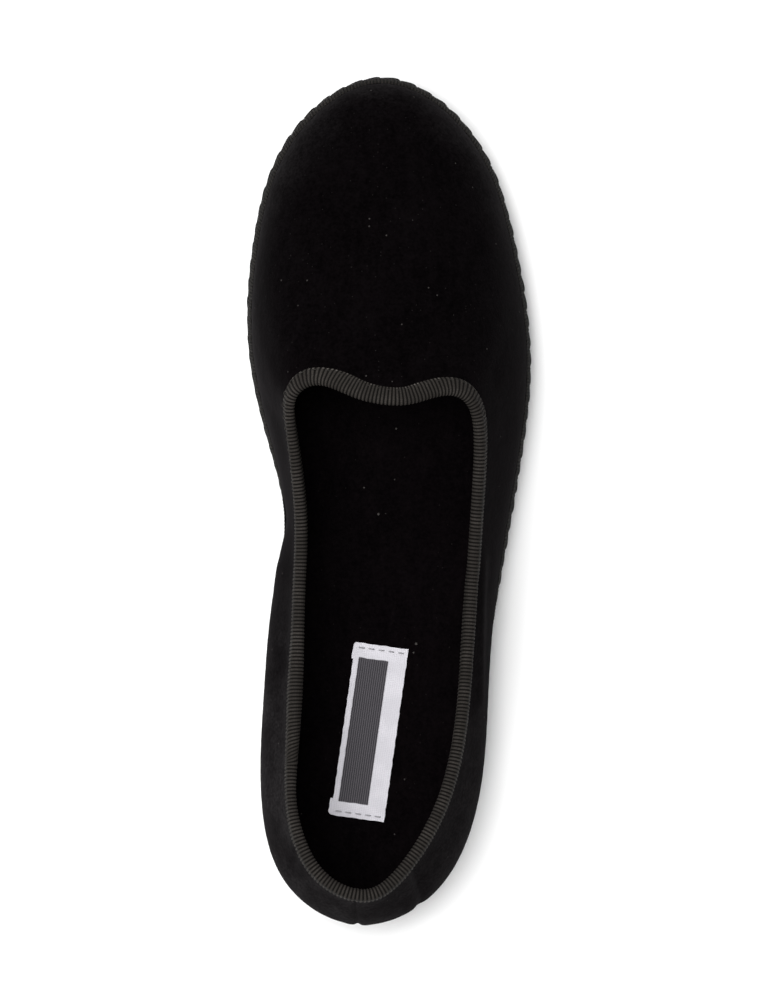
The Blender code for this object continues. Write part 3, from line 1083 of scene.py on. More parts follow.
@dataclass
class Bench:
    """Where meshes become pieces of the shoe."""

    last: Last
    shift: Vector

    def grid(self, columns: int, rows: int, surface: Surface, uv_name: str) -> bmesh.types.BMesh:
        """A grid laid on a surface, with its seams closed.

        Args:
            columns: steps of the first coordinate.
            rows: steps of the second coordinate.
            surface: points for two coordinates that run from 0 to 1.
            uv_name: name of the map that holds those coordinates.

        Returns:
            The mesh, in millimetres.
        """
        shape = bmesh.new()
        shape.loops.layers.uv.new(uv_name)
        bmesh.ops.create_grid(shape, x_segments=columns, y_segments=rows, size=0.5, calc_uvs=True)
        flat = np.array([vertex.co[:2] for vertex in shape.verts]) + 0.5
        for vertex, point in zip(shape.verts, surface(flat[:, 0], flat[:, 1])):
            vertex.co = point
        bmesh.ops.remove_doubles(shape, verts=shape.verts, dist=TINY)
        return shape

    def block(self, columns: int, rows: int, side: Surface, uv_name: str) -> bmesh.types.BMesh:
        """A grid round the shoe with a lid above and below.

        Args:
            columns: steps round the shoe.
            rows: steps up the side.
            side: points of the side.
            uv_name: name of the side's map.

        Returns:
            The closed mesh, in millimetres.
        """
        shape = self.grid(columns, rows, side, uv_name)
        bmesh.ops.holes_fill(shape, edges=shape.edges, sides=0)
        return shape

    def cross_cuts(self, shape: bmesh.types.BMesh, pitch: float) -> None:
        """Cut a block's faces across, so that they follow the sole's spring.

        Args:
            shape: the block, in millimetres.
            pitch: distance between two cuts, in millimetres.
        """
        for y in np.arange(self.last.heel_y + pitch, self.last.toe_y, pitch):
            geometry = [*shape.verts, *shape.edges, *shape.faces]
            bmesh.ops.bisect_plane(shape, geom=geometry, plane_co=(0, y, 0), plane_no=(0, 1, 0))

    def piece(
        self,
        name: str,
        shape: bmesh.types.BMesh,
        finish: bpy.types.Material,
        slot: Slot,
        replaces: Iterable[str] = (),
        sharp: float = 50.0,
    ) -> bpy.types.Object:
        """Make an object that rides on the shoe.

        Args:
            name: name of the piece.
            shape: closed mesh in millimetres, before the sole's spring.
            finish: its material.
            slot: slot of the record that the finish stands for; not used.
            replaces: solids that the piece stands for.
            sharp: angle in degrees from which an edge stays crisp.

        Returns:
            The object.
        """
        bmesh.ops.recalc_face_normals(shape, faces=shape.faces)
        points = np.array([vertex.co for vertex in shape.verts])
        lifts = self.last.spring(points[:, 1])
        for vertex, lift in zip(shape.verts, lifts):
            vertex.co = (vertex.co + self.shift + Vector((0.0, 0.0, lift))) * MM
        mesh = bpy.data.meshes.new(name)
        shape.to_mesh(mesh)
        shape.free()
        mesh.shade_smooth()
        mesh.set_sharp_from_angle(angle=math.radians(sharp))
        mesh.materials.append(finish)
        made = bpy.data.objects.new(name, mesh)
        bpy.context.scene.collection.objects.link(made)
        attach(made, BODY)
        if replaces:
            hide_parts(*replaces)
        log.info("%s: %d faces", name, len(mesh.polygons))
        return made


@dataclass
class Section:
    """A closed section: rows of the grid and the way and depth that each reaches."""

    rows: tuple[int, ...]
    way: tuple[float, ...]
    depth: tuple[float, ...]

    def at(self, share: Numbers) -> tuple[Numbers, Numbers]:
        """Follow the section.

        Args:
            share: shares of the rows.

        Returns:
            Way and depth there.
        """
        stops = np.append(0, np.cumsum(self.rows))
        row = share * stops[-1]
        return np.interp(row, stops, self.way), np.interp(row, stops, self.depth)

    @property
    def count(self) -> int:
        """Number of rows."""
        return sum(self.rows)

    @property
    def face(self) -> float:
        """Share of the rows that lie on the first face."""
        return self.rows[0] / self.count


@dataclass
class Upper:
    """Velvet wall, open at the collar and underneath, with its lining."""

    bench: Bench
    columns: int = 900
    crowding: float = 0.5
    rows: tuple[int, ...] = (66, 1, 10, 1)
    gather: float = 0.16
    # Share of painted sheen in the upper velvet's colour.
    painted_sheen_share: float = 0.78
    lining_columns: int = 420
    lining_rows: tuple[int, ...] = (34, 1, 6, 1)
    lining_foot: float = 1.0
    lining_thick: float = 0.35
    lining_gap: float = 0.02
    lining_follow: float = 0.7
    lining_wave: Wave = Wave(0.12, 9.0, 23.0, 0.08, -0.05)
    # Lighter than the upper's velvet: painted light that makes up for the dim light inside the shoe.
    lining_finish: Velvet = Velvet(
        "lining_cloth",
        deep=(0.0022, 0.0016, 0.0018),
        brushed=(0.0072, 0.0054, 0.0060),
        sheen=0.014,
        lint_share=0.02,
    )

    def velvet_surface(self, across: Numbers, rows: Numbers) -> Numbers:
        """Outer face, top edge and inner face of the velvet, crowded with columns at the heel.

        Args:
            across: shares of the way round the shoe.
            rows: shares of the section's rows.

        Returns:
            Points in millimetres.
        """
        last = self.bench.last
        place = across - self.crowding * np.sin(2.0 * np.pi * across) / (2.0 * np.pi)
        share, depth = self.section().at(rows)
        up = share * last.height(place)
        relief = last.relief(place, up) + self.gather * last.gathers(place, up)
        return last.skin(place, up, depth + relief)

    def section(self) -> Section:
        """Rows of the velvet: up the outside, over the edge, down the inside, under."""
        inside = -(self.bench.last.wall - self.lining_thick)
        return Section(self.rows, (0, 1, 1, 0, 0), (0, 0, inside, inside, 0))

    def lining_surface(self, across: Numbers, rows: Numbers) -> Numbers:
        """A thin cloth on the inside of the wall.

        Args:
            across: shares of the way round the shoe.
            rows: shares of the section's rows.

        Returns:
            Points in millimetres.
        """
        last = self.bench.last
        share, depth = self.lining_section().at(rows)
        up = self.lining_foot + share * (last.height(across) - 2.0 * self.lining_foot)
        ease = self.lining_follow * last.relief(across, up)
        ease += self.lining_wave.at(last.rim_tape.along(across), up, up)
        return last.skin(across, up, depth + ease)

    def lining_section(self) -> Section:
        """Rows of the lining: up the inside, over the edge, down against the velvet, under.

        Returns:
            The section, its depth in millimetres from the wall's outer face.
        """
        far = -self.bench.last.wall
        near = far + self.lining_thick - self.lining_gap
        return Section(self.lining_rows, (0, 1, 1, 0, 0), (far, far, near, near, far))

    def build(self) -> None:
        """Velvet and lining."""
        bench = self.bench
        velvet = bench.grid(self.columns, self.section().count, self.velvet_surface, "velvet")
        finish = Velvet("velvet", painted_sheen_share=self.painted_sheen_share).material()
        bench.piece("velvet_upper", velvet, finish, Slot.VELVET, ["upper"])
        rows = self.lining_section().count
        cloth = bench.grid(self.lining_columns, rows, self.lining_surface, "lining")
        bench.piece("lining", cloth, self.lining_finish.material(), Slot.VELVET)


class Swell(NamedTuple):
    """A stretch of the collar where the ribbon lies fuller or flatter than elsewhere.

    along is measured on the collar from the centre back and reach is half the stretch.
    """

    along: float
    reach: float
    outer: float
    inner: float


@dataclass
class CollarBinding:
    """Grosgrain ribbon folded over the top line, and the thread that holds it."""

    bench: Bench
    gap: float = 0.15
    thick: float = 0.42
    fullness: float = 0.32
    swells: tuple[Swell, ...] = (
        Swell(150.0, 20.0, -0.32, -0.32),
        Swell(68.0, 13.0, 0.75, 0.0),
        Swell(36.0, 9.0, -0.15, -0.48),
    )
    crest_half: float = 0.6
    pucker: float = 46.5
    pucker_rise: float = 2.0
    pucker_fall: float = 11.0
    pucker_lean: float = 1.3
    lean_wander: float = 0.05
    lean_waves: float = 4.0
    lean_limit: float = 2.2
    leg: float = 3.5
    leg_wave: Wave = Wave(0.22, 11.0, 27.0, 0.0, 1.0)
    inner_flare: float = 0.5
    rows: tuple[int, ...] = (28, 2, 8, 2)
    pitch: float = 1.05
    columns_per_rib: int = 5
    relief: float = 0.22
    rib_round: float = 1.2
    rib_middle: float = 0.6
    selvedge: float = 0.8
    selvedge_ease: float = 0.7
    stitch_pitch: float = 3.15
    stitch_half: float = 0.55
    stitch_radius: float = 0.16
    stitch_inset: float = 0.9
    stitch_foot: float = 0.62
    stitch_top: float = 0.86
    thread: Thread = Thread("collar_thread", dark=(0.010, 0.009, 0.008), light=(0.035, 0.032, 0.029))

    def __post_init__(self) -> None:
        """Count the ribs round the collar and measure the bend over its crest."""
        self.ribs = round(self.bench.last.collar_tape.length / self.pitch)
        self.arc = self.bench.last.wall / 2.0 * math.pi / 2.0

    def fold(self, place: Numbers, way: Numbers, lift: Numbers) -> Numbers:
        """Points over the folded ribbon.

        Args:
            place: places round the shoe.
            way: millimetres from the crest, outwards positive and inwards negative.
            lift: distance from the wall's faces, in millimetres.

        Returns:
            Points in millimetres.
        """
        last = self.bench.last
        half = last.wall / 2.0
        crest, outward, upward = last.frame(place, np.ones_like(place))
        ahead, _, _ = last.frame(place + TINY, np.ones_like(place))
        behind, _, _ = last.frame(place - TINY, np.ones_like(place))
        pace = np.linalg.norm(ahead - behind, axis=-1) / (2.0 * TINY)
        along = unit(ahead - behind)
        slant = np.sum(upward * along, axis=-1)
        square = np.sqrt(1.0 - slant**2)
        upright = unit(upward - slant[:, None] * along)
        angle = np.clip(way / self.arc, -1.0, 1.0) * math.pi / 2.0
        radius = (half + lift)[:, None]
        turn = np.sin(angle)[:, None] * outward + np.cos(angle)[:, None] * upright
        over = crest - half * outward + radius * turn
        down = np.maximum(np.abs(way) - self.arc, 0.0) / square
        below = place + down * slant / pace
        up = last.height(below) - down
        ease = last.relief(below, up) * smooth_step(np.abs(way), self.arc, self.arc + self.leg)
        stand_off = self.inner_flare * smooth_step(-way, self.arc, self.arc + self.leg)
        legs = last.skin(below, up, np.where(way > 0.0, lift, -last.wall - lift - stand_off) + ease)
        return np.where((np.abs(way) > self.arc)[:, None], legs, over)

    def reach(self, place: Numbers) -> Numbers:
        """How far each leg comes down from the crest, a little uneven as sewn by hand."""
        return self.leg + self.arc + self.leg_wave.at(self.bench.last.collar_tape.along(place))

    def skew(self, place: Numbers, way: Numbers) -> Numbers:
        """How far the ribs lean: a little everywhere and most beside the pucker.

        Args:
            place: places round the shoe.
            way: millimetres from the crest, outwards positive and inwards negative.

        Returns:
            Shifts along the ribbon, in ribs.
        """
        tape = self.bench.last.collar_tape
        along = tape.along(place)
        past = along - self.pucker
        start = smooth_step(past, -self.pucker_rise, self.pucker_rise)
        lean = self.pucker_lean * start * np.exp(-np.maximum(past, 0.0) / self.pucker_fall)
        lean += self.lean_wander * np.sin(2.0 * np.pi * self.lean_waves * along / tape.length)
        return lean * np.clip(way, -self.lean_limit, self.lean_limit)

    def full(self, place: Numbers, way: Numbers) -> Numbers:
        """How far the ribbon stands off the wall where it lies full.

        Args:
            place: places round the shoe.
            way: millimetres from the crest, outwards positive and inwards negative.

        Returns:
            Distances in millimetres.
        """
        along = self.bench.last.collar_tape.along(place)
        outside = smooth_step(way, -self.crest_half, self.crest_half)
        total = np.full_like(way, self.fullness)
        for swell in self.swells:
            near = np.exp(-(((along - swell.along) / swell.reach) ** 2))
            total += near * (swell.inner + (swell.outer - swell.inner) * outside)
        return total

    def surface(self, across: Numbers, rows: Numbers) -> Numbers:
        """Ribbed outer face, selvedges and smooth back of the ribbon.

        Args:
            across: shares of the way round the collar.
            rows: shares of the section's rows.

        Returns:
            Points in millimetres.
        """
        place = self.bench.last.collar_tape.place(across)
        share, depth = self.section().at(rows)
        reach = self.reach(place)
        way = share * reach
        crown = rib_height(across * self.ribs + self.skew(place, way), self.rib_round)
        edge = smooth_step(reach - np.abs(way), 0.0, self.selvedge)
        lift = self.gap + depth * (self.thick + self.full(place, way))
        lift = lift * (1.0 - self.selvedge_ease * (1.0 - edge))
        lift += np.where(depth > FACE_DEPTH, self.relief * (crown - self.rib_middle) * edge, 0.0)
        return self.fold(place, way, lift)

    def section(self) -> Section:
        """Rows of the ribbon: over from the inner edge to the outer one, and back underneath."""
        return Section(self.rows, (-1, 1, 1, -1, -1), (1, 1, 0, 0, 1))

    def build(self) -> None:
        """Ribbon and stitches."""
        bench = self.bench
        section = self.section()
        ribbon = bench.grid(self.ribs * self.columns_per_rib, section.count, self.surface, "ribbon")
        self.lean_map(ribbon)
        finish = Grosgrain("collar_grosgrain", self.ribs, section.face).material()
        bench.piece("collar_ribbon", ribbon, finish, Slot.GROSGRAIN, ["collar_binding"])
        self.stitches()

    def lean_map(self, ribbon: bmesh.types.BMesh) -> None:
        """Lean the ribbon's map with its ribs.

        Args:
            ribbon: the ribbon's mesh.
        """
        layer = ribbon.loops.layers.uv["ribbon"]
        corners = [loop[layer] for face in ribbon.faces for loop in face.loops]
        flat = np.array([corner.uv for corner in corners])
        place = self.bench.last.collar_tape.place(flat[:, 0])
        way = self.section().at(flat[:, 1])[0] * self.reach(place)
        for corner, turn in zip(corners, flat[:, 0] + self.skew(place, way) / self.ribs):
            corner.uv.x = turn

    def stitches(self) -> None:
        """Small stitches along the ribbon's outer edge, each across a rib."""
        tape = self.bench.last.collar_tape
        thread = Stitching(sides=5, rings=5)
        count = round(tape.length / self.stitch_pitch)
        shares = (np.arange(count) + 0.5) / count
        half = self.stitch_half / tape.length
        rows = []
        for step, height in ((-half, self.stitch_foot), (0.0, self.stitch_top), (half, self.stitch_foot)):
            place = tape.place(shares + step)
            way = self.reach(place) - self.stitch_inset
            rows.append(self.fold(place, way, np.full_like(place, height)))
        for start, middle, end in zip(*rows):
            thread.sew(Vector(start), Vector(middle), Vector(end), self.stitch_radius)
        self.bench.piece("collar_stitches", thread.shape, self.thread.material(), Slot.GROSGRAIN)


@dataclass
class BaseRibbon:
    """Grosgrain band round the foot of the wall, drawn in by the sole's stitches."""

    bench: Bench
    gap: float = 0.2
    thick: float = 0.5
    flare: float = 0.65
    height: float = 6.0
    height_wave: Wave = Wave(0.2, 13.0, 37.0, 0.0, 0.6)
    rows: tuple[int, ...] = (14, 2, 5, 1)
    pitch: float = 1.05
    columns_per_rib: int = 4
    relief: float = 0.16
    rib_round: float = 0.75
    rib_middle: float = 0.7
    selvedge: float = 0.5
    scallop: float = 0.05
    top_ease: float = 0.8
    warps: float = 24.0
    crown: Colour = (0.0080, 0.0068, 0.0059)
    worn: Colour = (0.0195, 0.0164, 0.0141)
    # Painted shade between the band's ribs.
    groove: Colour = (0.0018, 0.0015, 0.0013)

    def __post_init__(self) -> None:
        """Count the ribs round the sole."""
        self.ribs = round(self.bench.last.rim_tape.length / self.pitch)

    def surface(self, across: Numbers, rows: Numbers) -> Numbers:
        """Ribbed outer face, edges and smooth back of the band.

        Args:
            across: shares of the way round the sole.
            rows: shares of the section's rows.

        Returns:
            Points in millimetres.
        """
        last = self.bench.last
        place = last.rim_tape.place(across)
        share, depth = self.section().at(rows)
        tall = self.height + self.height_wave.at(across * last.rim_tape.length)
        up = share * tall
        crown = rib_height(across * self.ribs, self.rib_round)
        edge = smooth_step(tall - up, 0.0, self.selvedge)
        ease = 1.0 - self.top_ease * share**2
        lift = ease * (self.gap + depth * self.thick) + depth * self.flare * (1.0 - share)
        proud = self.relief * (crown - self.rib_middle) * edge - self.scallop * last.gathers(place, up)
        lift += np.where(depth > FACE_DEPTH, proud, 0.0)
        return last.skin(place, up, lift)

    def section(self) -> Section:
        """Rows of the band: up the outside, over the top edge, down the back, under."""
        return Section(self.rows, (0, 1, 1, 0, 0), (1, 1, 0, 0, 1))

    def build(self) -> None:
        """The band."""
        section = self.section()
        band = self.bench.grid(self.ribs * self.columns_per_rib, section.count, self.surface, "ribbon")
        # The band's painted edge glints take its worn tone.
        tones = {"groove": self.groove, "crown": self.crown, "worn": self.worn, "loop": self.worn}
        finish = Grosgrain("base_grosgrain", self.ribs, section.face, self.warps, **tones).material()
        self.bench.piece("base_band", band, finish, Slot.GROSGRAIN, ["base_ribbon"])


@dataclass
class Stitching:
    """Spindle-shaped stitches joined into one mesh."""

    sides: int = 8
    rings: int = 10
    bluntness: int = 6
    shape: bmesh.types.BMesh = field(default_factory=bmesh.new)

    def __post_init__(self) -> None:
        """Give the thread its map."""
        self.shape.loops.layers.uv.new("thread")

    def sew(self, start: Vector, middle: Vector, end: Vector, radius: float, lag: float = 0.0) -> None:
        """One stitch that dips at both ends.

        Args:
            start: where the thread comes out, in millimetres.
            middle: top of the stitch over its middle.
            end: where it goes in.
            radius: half the thread's thickness.
            lag: how far the highest point lies towards the end, from 0 to 1.
        """
        ball = bmesh.ops.create_uvsphere(
            self.shape, u_segments=self.sides, v_segments=self.rings, radius=1.0, calc_uvs=True
        )
        along = (end - start).normalized()
        rise = middle - (start + end) / 2.0
        outward = rise.normalized()
        aside = along.cross(outward)
        for vertex in ball["verts"]:
            s = vertex.co.z
            full = math.sqrt(max(1.0 - s**self.bluntness, 0.0)) / math.sqrt(max(1.0 - s * s, TINY))
            arch = (1.0 - s * s) * (1.0 + lag * s)
            centre = start.lerp(end, (s + 1.0) / 2.0) + arch * rise
            vertex.co = centre + radius * full * (vertex.co.x * aside + vertex.co.y * outward)


@dataclass
class Sole:
    """Rubber outsole, cloth layers and the thick stitches that join them to the upper.

    Each step of the rubber's side is a height above the floor and a set-back from the sole's edge.
    """

    bench: Bench
    rubber_steps: tuple[Pair, ...] = (
        (0.0, 1.6),
        (0.35, 1.05),
        (0.9, 0.55),
        (1.5, 0.30),
        (2.2, 0.20),
        (2.6, 0.24),
        (2.9, 0.42),
        (3.2, 0.70),
        (3.5, 0.78),
        (4.2, 0.72),
        (5.0, 0.70),
    )
    rubber_columns: int = 320
    rubber_sharp: float = 30.0
    strip: float = 8.0
    tread_depth: float = 1.2
    tread_width: float = 2.0
    tread_pitch: float = 9.0
    tread_slope: float = 0.28
    tread_zones: tuple[Span, ...] = ((-108.0, -52.0), (0.0, 108.0))
    tread_reach: float = 60.0
    tread_middle: float = -1.5
    sipe_depth: float = 0.5
    sipe_width: float = 0.5
    cloth_columns: int = 640
    cloth_layers: int = 3
    cloth_rows: int = 8
    cloth_seam: float = 1.05
    cloth_edge: float = 0.5
    cloth_wave: Wave = Wave(0.10, 7.0, 17.0, 2.1, 0.7)
    thread_seed: int = 5
    thread_radius: float = 0.52
    thread_half: float = 2.75
    thread_ends: Pair = (8.0, 9.9)
    thread_dip: Pair = (0.85, 0.72)
    thread_crest: float = 0.58
    thread_rise: float = 0.1
    thread_shift: float = 0.12
    thread_uneven: float = 0.05

    def side(self, across: Numbers, height: Numbers, set_back: Numbers) -> Numbers:
        """Points on the side of the sole at a height and a set-back from its edge."""
        edge, outward = self.bench.last.rim(across)
        return np.hstack([edge - set_back[:, None] * outward, height[:, None]])

    def rubber_side(self, across: Numbers, rows: Numbers) -> Numbers:
        """The rubber's stepped side, from the floor up.

        Args:
            across: places round the shoe.
            rows: shares of the steps.

        Returns:
            Points in millimetres.
        """
        heights, set_backs = zip(*self.rubber_steps)
        stops = np.linspace(0.0, 1.0, len(heights))
        return self.side(across, np.interp(rows, stops, heights), np.interp(rows, stops, set_backs))

    def tread_bars(self) -> bmesh.types.BMesh:
        """Bent bars that cut the main grooves, and thin ones for the sipes between them.

        Returns:
            All bars in one mesh, in millimetres.
        """
        bars = bmesh.new()
        for start, end in self.tread_zones:
            for y in np.arange(start, end, self.tread_pitch):
                self.tread_bar(bars, y, self.tread_width, self.tread_depth)
                for third in (1, 2):
                    offset = self.tread_pitch * third / 3.0
                    self.tread_bar(bars, y + offset, self.sipe_width, self.sipe_depth)
        bmesh.ops.recalc_face_normals(bars, faces=bars.faces)
        return bars

    def tread_bar(self, bars: bmesh.types.BMesh, y: float, width: float, depth: float) -> None:
        """One chevron bar, standing half in the rubber and half below it.

        Args:
            bars: mesh that the bar is added to.
            y: place of its tip along the foot.
            width: width of the groove that it cuts.
            depth: depth of that groove.
        """
        slant = self.tread_slope * self.tread_reach
        line = [(side * self.tread_reach, y - abs(side) * slant) for side in (-1, 0, 1)]
        outline = [(x, v - width / 2.0) for x, v in line]
        outline += [(x, v + width / 2.0) for x, v in reversed(line)]
        base = [bars.verts.new((x + self.tread_middle, v, -depth)) for x, v in outline]
        raised = bmesh.ops.extrude_face_region(bars, geom=[bars.faces.new(base)])["geom"]
        tops = [item for item in raised if isinstance(item, bmesh.types.BMVert)]
        bmesh.ops.translate(bars, vec=(0.0, 0.0, 2.0 * depth), verts=tops)

    def rubber(self) -> None:
        """Outsole with its tread cut in."""
        bench = self.bench
        block = bench.block(self.rubber_columns, len(self.rubber_steps) - 1, self.rubber_side, "rubber")
        bmesh.ops.recalc_face_normals(block, faces=block.faces)
        cut = carved(block, self.tread_bars())
        bench.cross_cuts(cut, self.strip)
        finish = Rubber("rubber").material()
        bench.piece("rubber_outsole", cut, finish, Slot.RUBBER, ["outsole"], self.rubber_sharp)

    def cloth_side(self, across: Numbers, rows: Numbers) -> Numbers:
        """Full rounded edges of the layers, each a little uneven.

        Args:
            across: places round the shoe.
            rows: shares of the height of all layers.

        Returns:
            Points in millimetres.
        """
        last = self.bench.last
        level = rows * self.cloth_layers
        layer = np.minimum(np.floor(level), self.cloth_layers - 1)
        inside = np.abs(2.0 * (level - layer) - 1.0)
        set_back = self.cloth_edge + (self.cloth_seam - self.cloth_edge) * inside**3
        set_back += self.cloth_wave.at(last.rim_tape.along(across), layer, layer)
        bottom = self.rubber_steps[-1][0] + last.seat_gap
        return self.side(across, bottom + rows * (last.sole_top - bottom), set_back)

    def cloth(self) -> None:
        """Stack of cloth layers."""
        bench = self.bench
        rows = self.cloth_layers * self.cloth_rows
        stack = bench.block(self.cloth_columns, rows, self.cloth_side, "cloth")
        bench.cross_cuts(stack, self.strip)
        finish = LayeredCloth("layered_cloth").material()
        bench.piece("cloth_layers", stack, finish, Slot.LAYERED_CLOTH, ["midsole"])

    def stitches(self) -> None:
        """Long slanting stitches that overlap round the edge of the cloth layers."""
        last = self.bench.last
        thread = Stitching()
        chance = np.random.default_rng(self.thread_seed)
        shares = (np.arange(last.stitches) + 0.5) / last.stitches
        low, high = self.thread_ends
        for edge, outward in zip(*last.rim(last.rim_tape.place(shares))):
            out = Vector((*outward, 0.0))
            along = Vector((outward[1], -outward[0], 0.0))
            base = Vector((*edge, 0.0)) + along * chance.normal(0.0, self.thread_shift)
            half = self.thread_half * chance.normal(1.0, self.thread_uneven)
            start = base - along * half - out * self.thread_dip[0] + Vector((0.0, 0.0, low))
            end = base + along * half - out * self.thread_dip[1] + Vector((0.0, 0.0, high))
            middle = base - out * (self.thread_crest + chance.normal(0.0, self.thread_uneven))
            middle += Vector((0.0, 0.0, (low + high) / 2.0 + self.thread_rise))
            thread.sew(start, middle, end, self.thread_radius, last.stitch_lag)
        finish = Thread("sole_thread").material()
        self.bench.piece("rim_stitches", thread.shape, finish, Slot.LAYERED_CLOTH)

    def build(self) -> None:
        """Rubber, cloth and stitches."""
        self.rubber()
        self.cloth()
        self.stitches()


def carved(block: bmesh.types.BMesh, tool: bmesh.types.BMesh) -> bmesh.types.BMesh:
    """Cut one mesh out of another.

    Args:
        block: closed mesh to cut. It is freed.
        tool: closed mesh to cut with. It is freed.

    Returns:
        The cut mesh.
    """
    objects = []
    for name, shape in (("block", block), ("tool", tool)):
        mesh = bpy.data.meshes.new(name)
        shape.to_mesh(mesh)
        shape.free()
        objects.append(bpy.data.objects.new(name, mesh))
        bpy.context.scene.collection.objects.link(objects[-1])
    cut = objects[0].modifiers.new("cut", "BOOLEAN")
    cut.operation = "DIFFERENCE"
    cut.solver = "EXACT"
    cut.object = objects[1]
    graph = bpy.context.evaluated_depsgraph_get()
    result = bmesh.new()
    result.from_mesh(objects[0].evaluated_get(graph).to_mesh())
    for spent in objects:
        mesh = spent.data
        bpy.data.objects.remove(spent)
        bpy.data.meshes.remove(mesh)
    return result


@dataclass
class Footbed:
    """Velvet insole.

    Each step of its edge is a share of the rows, a share of the thickness and an inset in roundings.
    """

    bench: Bench
    thick: float = 2.7
    gap: float = 0.5
    rounding: float = 1.2
    edge_steps: tuple[Triple, ...] = (
        (0.0, 0.0, 0.0),
        (0.25, 0.55, 0.0),
        (0.4, 0.8, 0.12),
        (0.55, 0.95, 0.45),
        (0.7, 1.0, 1.0),
        (0.85, 1.0, 2.4),
        (1.0, 1.0, 4.5),
    )
    columns: int = 420
    rows: int = 12
    strip: float = 6.0
    # Lighter than the upper's velvet: painted light that makes up for the dim light inside the shoe.
    finish: Velvet = Velvet(
        "footbed_velvet",
        deep=(0.0010, 0.0007, 0.0009),
        brushed=(0.0034, 0.0025, 0.0029),
        sheen=0.012,
        lint_share=0.05,
        lint_places=(
            (10.0, -42.0, 0.5),
            (9.3, -44.6, 0.35),
            (-2.0, -4.2, 0.45),
            (2.6, 21.0, 0.35),
            (-6.4, 3.5, 0.3),
        ),
    )

    @property
    def seat(self) -> float:
        """Height of its lower face, before the sole's spring."""
        return self.bench.last.sole_top + self.bench.last.seat_gap

    def surface(self, across: Numbers, rows: Numbers) -> Numbers:
        """Side, rounded edge and a rim of the upper face.

        Args:
            across: places round the shoe.
            rows: shares of the rows.

        Returns:
            Points in millimetres.
        """
        last = self.bench.last
        stops, heights, insets = zip(*self.edge_steps)
        up = np.interp(rows, stops, heights) * self.thick
        inside = -(last.wall + self.gap) - np.interp(rows, stops, insets) * self.rounding
        points = last.skin(across, up, inside)
        points[:, 2] = self.seat + up
        return points

    def build(self) -> None:
        """The footbed."""
        bed = self.bench.block(self.columns, self.rows, self.surface, "footbed")
        self.bench.cross_cuts(bed, self.strip)
        self.bench.piece("velvet_footbed", bed, self.finish.material(), Slot.FOOTBED, ["insole"])


